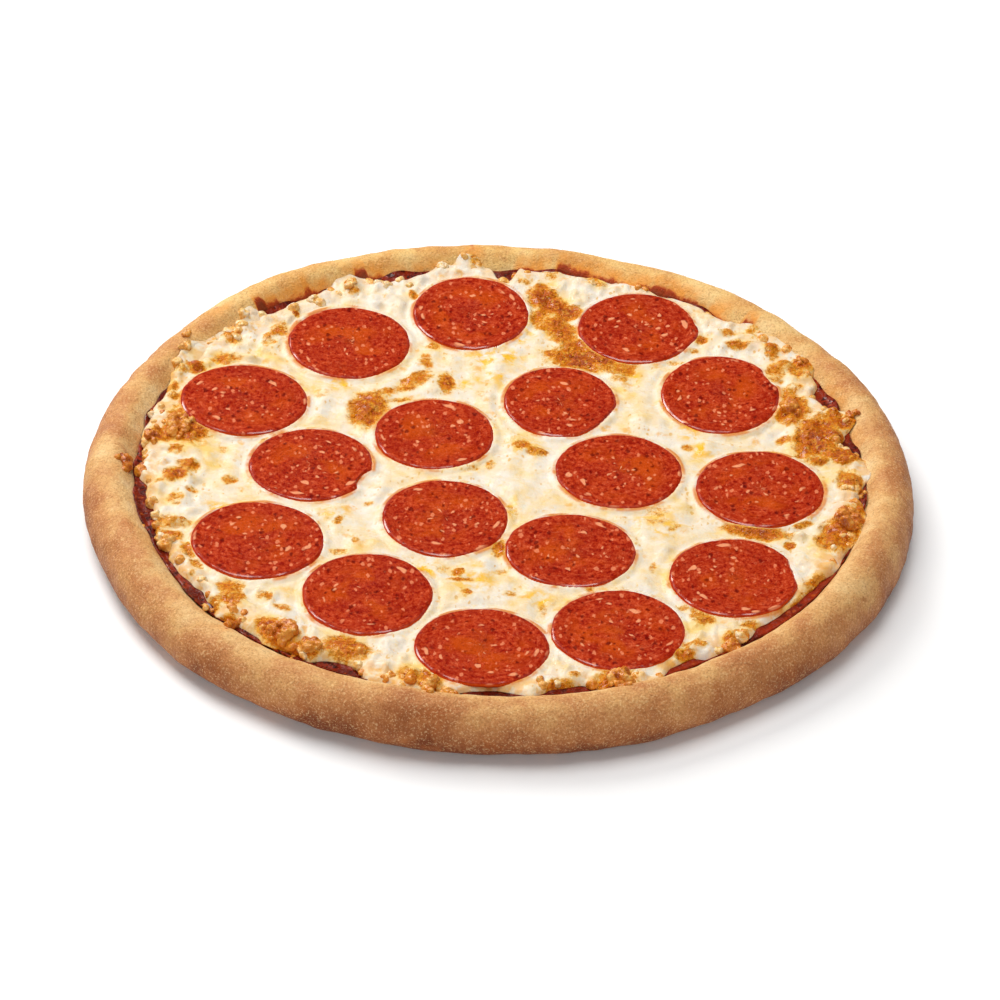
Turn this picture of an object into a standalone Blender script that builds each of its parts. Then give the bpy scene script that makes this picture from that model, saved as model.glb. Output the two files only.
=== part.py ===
"""A whole pepperoni pizza, baked and uncut: raised crust, sauce, melted cheese and 17 slices of sausage.

The origin is the middle of the flat underside. +Z is up, and -Y is the side nearest the eye.
Crust, sauce and cheese are turned shapes that are then made uneven by the same few waves, so that they
nest with a small gap between them. Angles run anticlockwise from +X.
"""

import math
import random

import bmesh
import bpy
import numpy as np
from mathutils import Vector

MM = 0.001

# Driving sizes of the pizza, in mm.
PIZZA_RADIUS = 150.0
RIM_HALF_WIDTH = 10.5
RIM_HEIGHT = 20.5
RIM_WAIST = 8.8
RIM_FOOT = 23.0
FLOOR = 9.2
SAUCE_THICK = 1.5
SAUCE_EDGE_THICK = 0.5
SAUCE_RADIUS = 132.0
CHEESE_LEVEL = 14.2
CHEESE_RADIUS = 131.0
CHEESE_MIN_THICK = 1.2
SWELL = 1.2
DISH_START = 95.0
DISH_RISE = 1.5
GAP = 0.35
EDGE_GAP = 0.7
STEPS_ROUND = 80
SHARP_DEGREES = 50

# Waves round the rim: height in mm, number of waves, phase in degrees.
OUTLINE_WAVES = ((0.6, 3, 30), (0.3, 7, 200), (0.2, 11, 80))
CREST_WAVES = ((0.6, 2, 40), (0.5, 5, 130), (0.35, 9, 250), (0.25, 14, 10))
CHEESE_EDGE_WAVES = ((0.8, 6, 70), (0.7, 11, 300), (0.5, 17, 20))

# Stretches where the cheese draws back and sauce shows: middle and half width in degrees, depth in mm.
SAUCE_SHOWS = (
    (167, 6, 5.0), (-177, 8, 5.5), (-162, 7, 5.5), (-146, 6, 5.5), (-132, 5, 5.0), (-113, 5, 5.0),
    (-83, 9, 4.0), (-60, 4, 4.5), (-34, 10, 5.0), (-17, 4, 4.0), (-2, 3, 3.5), (10, 4, 5.0), (22, 4, 4.5),
    (60, 5, 3.5), (75, 6, 4.0), (90, 3, 4.5), (106, 8, 4.0), (127, 7, 4.5),
)

# Slices of sausage: middle x and y, then half width along x and along y, in mm.
SLICES = (
    (-12.5, 99.0, 22.0, 24.0), (51.0, 92.0, 22.5, 23.0), (-58.0, 76.5, 23.0, 23.5), (81.5, 49.0, 22.0, 25.0),
    (-95.0, 36.5, 23.5, 22.5), (22.0, 42.0, 21.0, 23.0), (-24.0, 19.0, 22.0, 22.5), (-68.0, -2.5, 22.5, 22.5),
    (43.5, -1.0, 23.0, 23.0), (94.0, -10.0, 23.0, 23.5), (-18.5, -32.5, 22.5, 23.0), (-84.0, -49.5, 23.5, 23.0),
    (26.0, -49.5, 23.0, 21.5), (83.0, -63.5, 22.5, 23.0), (-44.0, -78.5, 22.5, 23.5), (42.5, -95.0, 23.0, 23.0),
    (-4.0, -106.5, 23.0, 22.0),
)
SLICE_THICK = 1.7
SLICE_EDGE = 0.7
SLICE_STEPS = 24
# Nicks in the rind of some slices: slice, angle in degrees, width in degrees, depth in mm.
NICKS = ((7, -22, 13, 2.6), (3, 28, 12, 1.6), (5, -38, 26, 1.6), (13, 10, 16, 1.2), (1, -8, 12, -1.2))

# Crusty lumps of browned cheese along the rim: x and y, half width and half height, in mm.
LUMPS = (
    (-12, 134, 5.4, 2.4), (-58, 115, 4.4, 2.2), (-104, 76, 5.0, 2.3), (-114, 69, 4.6, 2.2), (-121, 56, 4.4, 2.2),
    (-124, 43, 4.4, 2.3), (-118, 19, 6.4, 2.5), (-126, 10, 4.6, 2.2), (-132, -8, 4.8, 2.3), (-127, -20, 4.2, 2.2),
    (-121, -40, 4.8, 2.4), (-114, -58, 4.6, 2.3), (-96, -87, 4.6, 2.5), (-90, -95, 5.2, 3.0), (-74, -101, 6.4, 3.0),
    (-62, -111, 5.2, 2.7), (-49, -110, 6.0, 2.0), (-22, -128, 5.6, 3.0), (-30, -122, 3.6, 2.2), (43, -125, 5.8, 3.0),
    (52, -120, 4.4, 2.6), (80, -102, 4.8, 2.5), (69, -105, 3.8, 2.2), (115, -65, 4.6, 2.3), (121, -35, 8.0, 2.3),
    (124, 20, 8.5, 2.3), (110, 39, 6.0, 2.0), (129, 34, 4.8, 2.2), (111, 67, 6.0, 2.3), (101, 78, 5.0, 2.1),
    (89, 82, 4.8, 1.9), (36, 124, 4.8, 2.0), (20, 127, 4.8, 2.0),
)
LUMP_STRETCH = 1.25
LUMP_UNEVEN = 0.13
LUMP_LIFT = 0.8
SMALLEST_LUMP = 2.2


def clear_scene():
    for obj in list(bpy.data.objects):
        bpy.data.objects.remove(obj, do_unlink=True)


def new_material(name, colour, roughness):
    material = bpy.data.materials.new(name)
    material.use_nodes = True
    shader = material.node_tree.nodes["Principled BSDF"]
    shader.inputs["Base Color"].default_value = (*colour, 1.0)
    shader.inputs["Roughness"].default_value = roughness
    return material


def wave(angle, terms):
    """A sum of waves round the rim, in mm. Angle in radians."""
    return sum(height * math.cos(count * angle + math.radians(phase)) for height, count, phase in terms)


def ease(value):
    """0 below 0, 1 above 1, and a smooth step between."""
    value = min(max(value, 0.0), 1.0)
    return value * value * (3 - 2 * value)


def rim_section():
    """The crust's profile from the middle of its floor, over the rim and under to the middle of its base."""
    crest_radius = PIZZA_RADIUS - RIM_HALF_WIDTH
    foot_radius = PIZZA_RADIUS - RIM_FOOT
    points = [(0.0, FLOOR), (foot_radius - 15, FLOOR)]
    slope_steps = 5
    for step in range(slope_steps):
        share = step / slope_steps
        rise = (1 - (1 - share) ** 2) ** 1.5
        points.append((foot_radius + (crest_radius - foot_radius) * share, FLOOR + (RIM_HEIGHT - FLOOR) * rise))
    for degrees in (90, 65, 42, 20, 0):
        turn = math.radians(degrees)
        height = RIM_WAIST + (RIM_HEIGHT - RIM_WAIST) * math.sin(turn)
        points.append((crest_radius + RIM_HALF_WIDTH * math.cos(turn), height))
    for degrees in (-25, -50, -72, -90):
        turn = math.radians(degrees)
        points.append((crest_radius + RIM_HALF_WIDTH * math.cos(turn), RIM_WAIST * (1 + math.sin(turn))))
    points.append((0.0, 0.0))
    return points


RIM_SECTION = rim_section()
TOP_SECTION = np.array(RIM_SECTION[:8])


def crust_top(radius):
    """Height of the even crust's upper face at a radius inside the crest, in mm."""
    return float(np.interp(radius, TOP_SECTION[:, 0], TOP_SECTION[:, 1]))


def sauce_top(radius):
    """Height in mm of the sauce's upper face. The layer thins towards its edge."""
    thin = ease((radius - 122) / (SAUCE_RADIUS - 122))
    return crust_top(radius) + GAP + SAUCE_THICK + (SAUCE_EDGE_THICK - SAUCE_THICK) * thin


def knead(radius, height, angle):
    """Turns a point of the even pizza into one of the uneven pizza. In mm, angle in radians."""
    outward = ease((radius - 60) / 70)
    rim = ease((height - FLOOR) / (RIM_HEIGHT - FLOOR)) * ease((radius - 128) / 8)
    return radius + outward * wave(angle, OUTLINE_WAVES), height + rim * wave(angle, CREST_WAVES)


def turned(name, section, steps):
    """A closed mesh object turned round Z from a profile of (radius, height) in mm."""
    mesh = bpy.data.meshes.new(name)
    edges = [(i, i + 1) for i in range(len(section) - 1)]
    mesh.from_pydata([(radius * MM, 0.0, height * MM) for radius, height in section], edges, [])
    obj = bpy.data.objects.new(name, mesh)
    bpy.context.scene.collection.objects.link(obj)
    screw = obj.modifiers.new("Turn", "SCREW")
    screw.steps = screw.render_steps = steps
    screw.use_merge_vertices = True
    screw.merge_threshold = 0.00001
    graph = bpy.context.evaluated_depsgraph_get()
    solid = bpy.data.meshes.new_from_object(obj.evaluated_get(graph))
    obj.modifiers.remove(screw)
    obj.data = solid
    bpy.data.meshes.remove(mesh)
    return obj


def reshape(obj, rule):
    """Moves each vertex by a rule that takes and gives (radius, height, angle), in mm and radians."""
    for vertex in obj.data.vertices:
        x, y, z = vertex.co / MM
        radius, height, angle = rule(math.hypot(x, y), z, math.atan2(y, x))
        vertex.co = Vector((radius * math.cos(angle), radius * math.sin(angle), height)) * MM


def finish(obj, material, collection):
    for owner in list(obj.users_collection):
        owner.objects.unlink(obj)
    collection.objects.link(obj)
    obj.data.name = obj.name
    obj.data.materials.clear()
    obj.data.materials.append(material)
    obj.data.shade_smooth()
    obj.data.set_sharp_from_angle(angle=math.radians(SHARP_DEGREES))


def make_crust():
    crust = turned("crust", RIM_SECTION, STEPS_ROUND)
    reshape(crust, lambda radius, height, angle: (*knead(radius, height, angle), angle))
    return crust


def make_sauce():
    """A thin layer that runs under all the cheese and ends in an edge that climbs the foot of the rim."""
    radii = (0.0, 112.0, 122.0, PIZZA_RADIUS - RIM_FOOT, 129.5, SAUCE_RADIUS)
    top = [(radius, sauce_top(radius)) for radius in radii]
    under = [(radius, crust_top(radius) + GAP) for radius in reversed(radii)]
    sauce = turned("sauce", top + under, STEPS_ROUND)
    reshape(sauce, lambda radius, height, angle: (*knead(radius, height, angle), angle))
    return sauce


def cheese_edge(angle):
    """Radius of the cheese's uneven edge, in mm."""
    edge = CHEESE_RADIUS + wave(angle, CHEESE_EDGE_WAVES)
    for middle, half_width, depth in SAUCE_SHOWS:
        turn = (math.degrees(angle) - middle + 180) % 360 - 180
        edge -= depth * ease(1.5 - abs(turn) / half_width)
    return edge


def clearance_to_slices(x, y):
    """Distance in mm from a point to the nearest slice's rind. It is below 0 under a slice."""
    return min(math.hypot(x - cx, y - cy) - (rx + ry) / 2 for cx, cy, rx, ry in SLICES)


def dish(radius):
    """How far the cheese rises towards the rim, in mm."""
    return DISH_RISE * ease((radius - DISH_START) / (SAUCE_RADIUS - DISH_START))


def cheese_underside(radius):
    """Height in mm of the sheet's lower face, a gap above the sauce or the bare crust."""
    over = max(sauce_top(min(radius, SAUCE_RADIUS)), crust_top(radius))
    return over + GAP + (EDGE_GAP - GAP) * ease((radius - 118) / 8)


def make_cheese():
    """The melted sheet: flat where slices lie on it, swollen between them, with an uneven edge."""
    shares = (0.0, 0.12, 0.24, 0.36, 0.48, 0.6, 0.7, 0.79, 0.87, 0.93, 0.975)
    top = [(share * CHEESE_RADIUS, CHEESE_LEVEL) for share in shares]
    side = [(CHEESE_RADIUS, CHEESE_LEVEL - 1)]
    under = [(share * CHEESE_RADIUS, FLOOR) for share in (0.985, 0.93, 0.87, 0.6, 0.0)]
    cheese = turned("cheese", top + side + under, STEPS_ROUND)

    def melt(radius, height, angle):
        share = radius / CHEESE_RADIUS
        radius = share * cheese_edge(angle)
        low = cheese_underside(radius)
        x, y = radius * math.cos(angle), radius * math.sin(angle)
        swell = SWELL * ease((clearance_to_slices(x, y) - 6) / 6) * (0.7 + 0.3 * math.sin(0.21 * x))
        high = max(CHEESE_LEVEL + dish(radius) + swell, low + CHEESE_MIN_THICK)
        if height < CHEESE_LEVEL - 1.5:
            level = low
        elif height < CHEESE_LEVEL - 0.5:
            level = (low + high) / 2
        else:
            level = high
        return *knead(radius, level, angle), angle

    reshape(cheese, melt)
    return cheese


def level_on_dough(place):
    """Height in mm just clear of the crust and sauce under a point."""
    return knead(place.length, cheese_underside(place.length), math.atan2(place.y, place.x))[1]


def make_lump(number, x, y, half_width, half_height, source):
    """A squashed, knobbly ball of browned cheese, longer along the rim. Its foot stays clear of crust and sauce."""
    half_width = min(half_width, (clearance_to_slices(x, y) - 1.2) / (LUMP_STRETCH + LUMP_UNEVEN))
    if half_width < SMALLEST_LUMP:
        return None
    bpy.ops.mesh.primitive_ico_sphere_add(subdivisions=2, radius=1.0)
    lump = bpy.context.active_object
    lump.name = f"lump_{number:02d}"
    outward = Vector((x, y)).normalized()
    along = Vector((-outward.y, outward.x))
    centre = Vector((x, y))
    foot = level_on_dough(centre)
    for vertex in lump.data.vertices:
        knob = 1 + source.uniform(-LUMP_UNEVEN, LUMP_UNEVEN)
        place = centre + knob * half_width * (outward * vertex.co.x + along * vertex.co.y * LUMP_STRETCH)
        height = foot + half_height * (0.45 + vertex.co.z * knob)
        vertex.co = Vector((*place, max(height, level_on_dough(place) + LUMP_LIFT))) * MM
    return lump


def join_lumps(cheese):
    """One Boolean union fuses the lumps to the sheet."""
    pile = bpy.data.collections.new("lumps")
    bpy.context.scene.collection.children.link(pile)
    source = random.Random(7)
    for number, (x, y, half_width, half_height) in enumerate(LUMPS):
        lump = make_lump(number, x, y, half_width, half_height, source)
        if lump is None:
            continue
        for owner in list(lump.users_collection):
            owner.objects.unlink(lump)
        pile.objects.link(lump)
    union = cheese.modifiers.new("Fuse lumps", "BOOLEAN")
    union.operation = "UNION"
    union.operand_type = "COLLECTION"
    union.collection = pile
    union.solver = "MANIFOLD"
    graph = bpy.context.evaluated_depsgraph_get()
    fused = bpy.data.meshes.new_from_object(cheese.evaluated_get(graph))
    cheese.modifiers.remove(union)
    cheese.data = fused
    for lump in list(pile.objects):
        bpy.data.objects.remove(lump, do_unlink=True)
    bpy.data.collections.remove(pile)


def keep_largest_body(obj):
    """Drops any loose scrap that the union leaves."""
    mesh = bmesh.new()
    mesh.from_mesh(obj.data)
    mesh.verts.ensure_lookup_table()
    seen = set()
    bodies = []
    for start in mesh.verts:
        if start in seen:
            continue
        body, stack = [], [start]
        seen.add(start)
        while stack:
            vertex = stack.pop()
            body.append(vertex)
            for edge in vertex.link_edges:
                other = edge.other_vert(vertex)
                if other not in seen:
                    seen.add(other)
                    stack.append(other)
        bodies.append(body)
    bodies.sort(key=len)
    for body in bodies[:-1]:
        bmesh.ops.delete(mesh, geom=body, context="VERTS")
    mesh.to_mesh(obj.data)
    mesh.free()


def make_slice(number, x, y, half_x, half_y, source):
    """A thin slice of sausage, a little dished, with an uneven rind. Near the rim it leans on the rising cheese."""
    radius = (half_x + half_y) / 2
    section = [
        (0.0, SLICE_THICK - 0.25),
        (radius * 0.6, SLICE_THICK - 0.15),
        (radius - SLICE_EDGE, SLICE_THICK),
        (radius, SLICE_THICK * 0.5),
        (radius - SLICE_EDGE, 0.0),
        (0.0, 0.0),
    ]
    piece = turned(f"pepperoni_{number + 1:02d}", section, SLICE_STEPS)
    terms = [(source.uniform(0.05, 0.2), count, source.uniform(0, 360)) for count in (2, 3, 5, 7)]
    nicks = [nick[1:] for nick in NICKS if nick[0] == number]

    def trim(distance, height, angle):
        uneven = wave(angle, terms)
        for middle, width, depth in nicks:
            turn = (math.degrees(angle) - middle + 180) % 360 - 180
            uneven -= depth * ease(1.2 - abs(turn) / width)
        return distance + uneven * (distance / radius) ** 3, height, angle

    reshape(piece, trim)
    for vertex in piece.data.vertices:
        vertex.co.x *= half_x / radius
        vertex.co.y *= half_y / radius
    middle = Vector((x, y))
    inner, outer = dish(middle.length - radius), dish(middle.length + radius)
    piece.location = Vector((x, y, CHEESE_LEVEL + GAP + (inner + outer) / 2)) * MM
    piece.rotation_mode = "AXIS_ANGLE"
    tilt = math.atan2(inner - outer, 2 * radius)
    piece.rotation_axis_angle = (tilt, -middle.y / middle.length, middle.x / middle.length, 0)
    return piece


def main():
    clear_scene()
    pizza = bpy.data.collections.new("pizza")
    bpy.context.scene.collection.children.link(pizza)
    dough = new_material("baked dough", (0.62, 0.36, 0.15), 0.7)
    tomato = new_material("tomato sauce", (0.22, 0.03, 0.015), 0.35)
    melted = new_material("melted cheese", (0.82, 0.66, 0.38), 0.4)
    sausage = new_material("sausage", (0.42, 0.06, 0.03), 0.35)

    finish(make_crust(), dough, pizza)
    finish(make_sauce(), tomato, pizza)
    cheese = make_cheese()
    join_lumps(cheese)
    keep_largest_body(cheese)
    finish(cheese, melted, pizza)
    source = random.Random(3)
    for number, (x, y, half_x, half_y) in enumerate(SLICES):
        finish(make_slice(number, x, y, half_x, half_y, source), sausage, pizza)


main()
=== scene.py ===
# %% [markdown]
# # A whole pepperoni pizza
# A baked pizza is a stack of soft layers: a raised crust, a thin sauce, a sheet of melted cheese and slices of
# sausage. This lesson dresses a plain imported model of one. Each layer gets its own mesh, made uneven by the same
# waves, so that the layers still nest, and its own procedural finish.

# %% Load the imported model
import math
import random

import bpy
import numpy as np
from mathutils import Matrix, Vector


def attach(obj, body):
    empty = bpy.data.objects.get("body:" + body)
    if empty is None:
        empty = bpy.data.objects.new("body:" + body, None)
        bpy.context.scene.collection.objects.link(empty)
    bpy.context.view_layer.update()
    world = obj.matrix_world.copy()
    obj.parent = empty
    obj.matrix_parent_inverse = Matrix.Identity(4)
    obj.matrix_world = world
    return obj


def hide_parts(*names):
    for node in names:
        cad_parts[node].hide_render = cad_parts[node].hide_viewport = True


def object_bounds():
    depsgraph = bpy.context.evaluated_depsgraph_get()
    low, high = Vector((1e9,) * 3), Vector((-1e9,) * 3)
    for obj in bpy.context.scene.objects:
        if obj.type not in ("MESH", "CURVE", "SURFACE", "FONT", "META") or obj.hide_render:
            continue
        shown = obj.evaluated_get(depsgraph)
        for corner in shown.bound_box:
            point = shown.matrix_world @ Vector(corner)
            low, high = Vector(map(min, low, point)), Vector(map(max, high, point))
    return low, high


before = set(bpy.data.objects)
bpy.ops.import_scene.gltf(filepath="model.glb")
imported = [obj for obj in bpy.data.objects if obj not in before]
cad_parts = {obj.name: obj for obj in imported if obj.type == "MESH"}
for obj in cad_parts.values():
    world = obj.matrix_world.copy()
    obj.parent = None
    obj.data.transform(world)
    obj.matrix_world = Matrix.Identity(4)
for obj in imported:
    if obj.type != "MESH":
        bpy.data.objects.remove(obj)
cad_low, cad_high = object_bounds()
print("packed model", [round(side * 1000, 1) for side in cad_high - cad_low], "mm")

# %% [markdown]
# ## The shared form
# The crust is a turned profile, so one set of sizes in millimetres says where every layer lies. The sheet of
# cheese dips a little in the middle and rises towards the rim. A few slow waves then knead the round shape, since
# hand-stretched dough is never a true circle. NumPy works on whole arrays of points at once, which keeps the
# fine meshes quick to make.

# %% Sizes in millimetres
MM = 0.001
PIZZA_RADIUS = 150.0
RIM_HALF_WIDTH = 10.5
RIM_HEIGHT = 20.5
RIM_WAIST = 8.8
CREST_RADIUS = PIZZA_RADIUS - RIM_HALF_WIDTH
FOOT_RADIUS = 127.0
FLOOR = 9.2
SAUCE_THICK = 1.5
SAUCE_RADIUS = 131.9
SAUCE_THIN_FROM = 122
POOL_FROM = 116
POOL_LEVEL = 14.8
CHEESE_LEVEL = 14.2
CHEESE_RADIUS = 132.9
DISH_START = 95.0
DISH_RISE = 1.5
GAP = 0.35
SLICE_THICK = 1.7
OUTLINE_WAVES = ((0.6, 3, 30), (0.3, 7, 200), (0.2, 11, 80))
CREST_WAVES = ((0.6, 2, 40), (0.5, 5, 130), (0.35, 9, 250), (0.25, 14, 10))
CHEESE_EDGE_WAVES = ((0.7, 6, 70), (0.6, 11, 300), (0.5, 17, 20), (0.45, 31, 50), (0.3, 47, 110), (0.15, 71, 40))

# %% Waves and smooth steps
def ease(value):
    """0 below 0, 1 above 1, and a smooth step between."""
    value = np.clip(value, 0, 1)
    return value * value * (3 - 2 * value)


def wave(angle, terms):
    """A sum of waves round the rim: height, number of waves and phase in degrees for each."""
    return sum(height * np.cos(count * angle + math.radians(phase)) for height, count, phase in terms)


def turned(angle, middle):
    """How many degrees lie between two directions, the first in radians and the second in degrees."""
    return np.abs((np.degrees(angle) - middle + 180) % 360 - 180)


def lump_distance(angle, radius, middle, reach, along, across):
    """Distance from the middle of a lump or a drip near the rim, in its own half widths."""
    turn = (angle - math.radians(middle) + math.pi) % math.tau - math.pi
    return np.hypot(turn * reach / along, (radius - reach) / across)


def ripple(x, y, length, seed):
    """Soft random-looking unevenness between about -1 and 1, from seven crossing waves."""
    source = random.Random(seed)
    total = 0
    for _ in range(7):
        turn = source.uniform(0, math.tau)
        pitch = math.tau / (length * source.uniform(0.7, 1.5))
        total = total + np.sin((x * math.cos(turn) + y * math.sin(turn)) * pitch + source.uniform(0, math.tau))
    return total / 3.2


# %% Heights of the even layers
def crust_top(radius):
    """The crust's upper face from the middle to the crest."""
    share = np.clip((radius - FOOT_RADIUS) / (CREST_RADIUS - FOOT_RADIUS), 0, 1)
    return FLOOR + (RIM_HEIGHT - FLOOR) * (1 - (1 - share) ** 2) ** 1.5


def sauce_top(radius):
    """The sauce's upper face, thin towards its edge and pooled in the gutter before the rim."""
    thin = ease((radius - SAUCE_THIN_FROM) / (SAUCE_RADIUS - SAUCE_THIN_FROM))
    pooled = POOL_LEVEL * ease((radius - POOL_FROM) / 8)
    return np.maximum(crust_top(radius) + GAP + SAUCE_THICK * (1 - 0.6 * thin), pooled)


def dish(radius):
    """How far the cheese rises towards the rim."""
    return DISH_RISE * ease((radius - DISH_START) / (SAUCE_RADIUS - DISH_START))


def knead(radius, height, angle):
    """Turns a point of the even pizza into one of the uneven pizza."""
    outward = ease((radius - 60) / 70)
    rim = ease((height - FLOOR) / (RIM_HEIGHT - FLOOR)) * ease((radius - 128) / 8)
    return radius + outward * wave(angle, OUTLINE_WAVES), height + rim * wave(angle, CREST_WAVES)


print("rim", RIM_HEIGHT, "mm high, floor", FLOOR, "mm, cheese", CHEESE_LEVEL, "mm")

# %% [markdown]
# ## Camera and lamps
# The camera stands low and far off with a long lens, which keeps the round outline nearly even front to back. A
# broad soft lamp from the left gives the gloss on the sausage and a soft shadow on the right. A wide lamp above
# fills the shade, as a white studio does, and a weak one in front lights the near side of the rim.

# %% Camera
def make_camera():
    elevation, roll, distance = math.radians(36.12), math.radians(1.71), 1.391
    target = Vector((0.0008, -0.0127, 0.010))
    back = Vector((0, -math.cos(elevation), math.sin(elevation)))
    camera = bpy.data.objects.new("camera", bpy.data.cameras.new("camera"))
    camera.data.sensor_width = 36
    camera.data.lens = 139.07
    camera.data.clip_end = 20
    camera.location = target + back * distance
    tilt = Matrix.Rotation(math.pi / 2 - elevation, 3, "X") @ Matrix.Rotation(roll, 3, "Z")
    camera.rotation_euler = tilt.to_euler()
    bpy.context.scene.collection.objects.link(camera)
    bpy.context.scene.camera = camera
    return camera


camera = make_camera()
print("camera at", [round(v, 3) for v in camera.location], "lens", camera.data.lens)

# %% Lamps
def make_lamp(name, place, size, power, colour=(1, 1, 1)):
    """A square area lamp that faces the pizza."""
    data = bpy.data.lights.new(name, "AREA")
    data.size = size
    data.energy = power
    data.color = colour
    lamp = bpy.data.objects.new(name, data)
    lamp.location = place
    lamp.rotation_euler = (-Vector(place)).to_track_quat("-Z", "Y").to_euler()
    bpy.context.scene.collection.objects.link(lamp)
    return lamp


make_lamp("key lamp", (-0.78, 1.0, 1.15), 0.9, 20.5, (1.0, 0.98, 0.95))
make_lamp("top lamp", (-0.1, 0.2, 1.9), 1.3, 21)
make_lamp("front lamp", (-0.4, -1.7, 0.9), 1.0, 6)
world = bpy.data.worlds.new("studio")
world.use_nodes = True
world.node_tree.nodes["Background"].inputs["Color"].default_value = (1, 1, 1, 1)
world.node_tree.nodes["Background"].inputs["Strength"].default_value = 0.22
bpy.context.scene.world = world
bpy.context.scene.view_settings.view_transform = "Standard"

# %% [markdown]
# ## Helpers for node trees
# Shader trees and geometry trees are wired the same way, so the same few helpers add nodes to either. A small
# class stands for one output of a node, and a sum or product of such values adds its Math node by itself. So the
# finishes and trees below read like arithmetic.

# %% Values and nodes
class Value:
    """One output of a node. Sums and products of values add Math nodes to its tree."""

    def __init__(self, socket):
        self.socket = socket

    def __add__(self, other):
        return maths("ADD", self, other)

    def __radd__(self, other):
        return maths("ADD", other, self)

    def __sub__(self, other):
        return maths("SUBTRACT", self, other)

    def __rsub__(self, other):
        return maths("SUBTRACT", other, self)

    def __mul__(self, other):
        return maths("MULTIPLY", self, other)

    def __rmul__(self, other):
        return maths("MULTIPLY", other, self)

    def __rtruediv__(self, other):
        return maths("DIVIDE", other, self)


class Made:
    """A node whose outputs are taken as values, by name or number."""

    def __init__(self, node):
        self.node = node

    def __getitem__(self, name):
        return Value(self.node.outputs[name])


def tree_of(*values):
    """The tree that the first node value among these belongs to."""
    return next(value.socket.id_data for value in values if isinstance(value, Value))


def feed(inputs, values):
    """Sets inputs by name: a link for a node's value, and anything else as the plain setting."""
    for name, value in values.items():
        if isinstance(value, Value):
            value.socket.id_data.links.new(value.socket, inputs[name])
        else:
            inputs[name].default_value = value


def put(tree, kind, inputs=None, **settings):
    """Adds one node with its settings and inputs."""
    node = tree.nodes.new(kind)
    for name, value in settings.items():
        setattr(node, name, value)
    feed(node.inputs, inputs or {})
    return Made(node)


# %% Node arithmetic
def maths(operation, *values):
    return put(tree_of(*values), "ShaderNodeMath", dict(enumerate(values)), operation=operation)[0]


def vector_maths(operation, *values):
    """A vector sum, product or scaling. SCALE takes its number as the second value."""
    inputs = dict(enumerate(values))
    if operation == "SCALE":
        inputs = {0: values[0], "Scale": values[1]}
    made = put(tree_of(*values), "ShaderNodeVectorMath", inputs, operation=operation)
    return made["Value" if operation == "LENGTH" else "Vector"]


def split(vector):
    """The three parts of a vector."""
    return put(tree_of(vector), "ShaderNodeSeparateXYZ", {0: vector})


def join(x, y, z):
    return put(tree_of(x, y, z), "ShaderNodeCombineXYZ", {0: x, 1: y, 2: z})[0]


def from_middle(x, y):
    """Distance from the upright axis."""
    return vector_maths("LENGTH", join(x, y, 0.0))


def fit(value, low, high, to_low=0.0, to_high=1.0):
    """A smooth step from low to high."""
    inputs = {"Value": value, "From Min": low, "From Max": high, "To Min": to_low, "To Max": to_high}
    return put(tree_of(value), "ShaderNodeMapRange", inputs, interpolation_type="SMOOTHSTEP")["Result"]


def cloud(place, size, detail=2.0, roughness=0.5, distortion=0.0):
    """Soft noise whose lumps are about this many millimetres across. Gives 0 to 1."""
    inputs = {"Vector": place, "Scale": 1000.0 / size, "Detail": detail, "Roughness": roughness,
              "Distortion": distortion}
    return put(tree_of(place), "ShaderNodeTexNoise", inputs)[0]


def blend(factor, first, second, blend_type="MIX"):
    """Mixes two colours."""
    inputs = {0: factor, 6: first, 7: second}
    return put(tree_of(factor, first), "ShaderNodeMix", inputs, data_type="RGBA", blend_type=blend_type)[2]


def over(colour, mask, red, green, blue):
    """Lays a tone over a colour where the mask is set."""
    return blend(mask, colour, tone(red, green, blue))


def ramp(value, *stops):
    """Colours along a value from 0 to 1: (position, red, green, blue) for each stop."""
    made = put(tree_of(value), "ShaderNodeValToRGB", {0: value})
    elements = made.node.color_ramp.elements
    elements[0].position, elements[1].position = stops[0][0], stops[-1][0]
    elements[0].color, elements[1].color = tone(*stops[0][1:]), tone(*stops[-1][1:])
    for position, *colour in stops[1:-1]:
        elements.new(position).color = tone(*colour)
    return made["Color"]


def tone(red, green, blue):
    """A colour from its usual 0 to 255 numbers, as the linear values that shaders want."""
    parts = [part / 255 for part in (red, green, blue)]
    return (*[p / 12.92 if p <= 0.04045 else ((p + 0.055) / 1.055) ** 2.4 for p in parts], 1.0)


# %% A group with named sockets
def new_group(name, kind, inputs, output, output_kind):
    """An empty node group with one output. An input is given its start value, or its kind as a word."""
    tree = bpy.data.node_groups.new(name, kind)
    kinds = {float: "Float", int: "Int", tuple: "Vector"}
    for label, value in inputs.items():
        socket = kinds.get(type(value), value)
        made = tree.interface.new_socket(label, in_out="INPUT", socket_type="NodeSocket" + socket)
        if socket != value:
            made.default_value = value
    tree.interface.new_socket(output, in_out="OUTPUT", socket_type="NodeSocket" + output_kind)
    return tree, put(tree, "NodeGroupInput"), tree.nodes.new("NodeGroupOutput").inputs


def use_group(group, inputs):
    """Puts a node group into the material's tree that its Place comes from."""
    made = put(tree_of(inputs["Place"]), "ShaderNodeGroup", node_tree=group)
    feed(made.node.inputs, inputs)
    return made


# %% [markdown]
# ## Finishes that several foods share
# Baked food is blotchy, flecked and grainy, only at other sizes in each layer. So these three effects are shader
# node groups, built once and set to each material's own numbers. They read Object coordinates, which are true
# distances here, so a fleck is as large on the crust as on the cheese.

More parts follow.
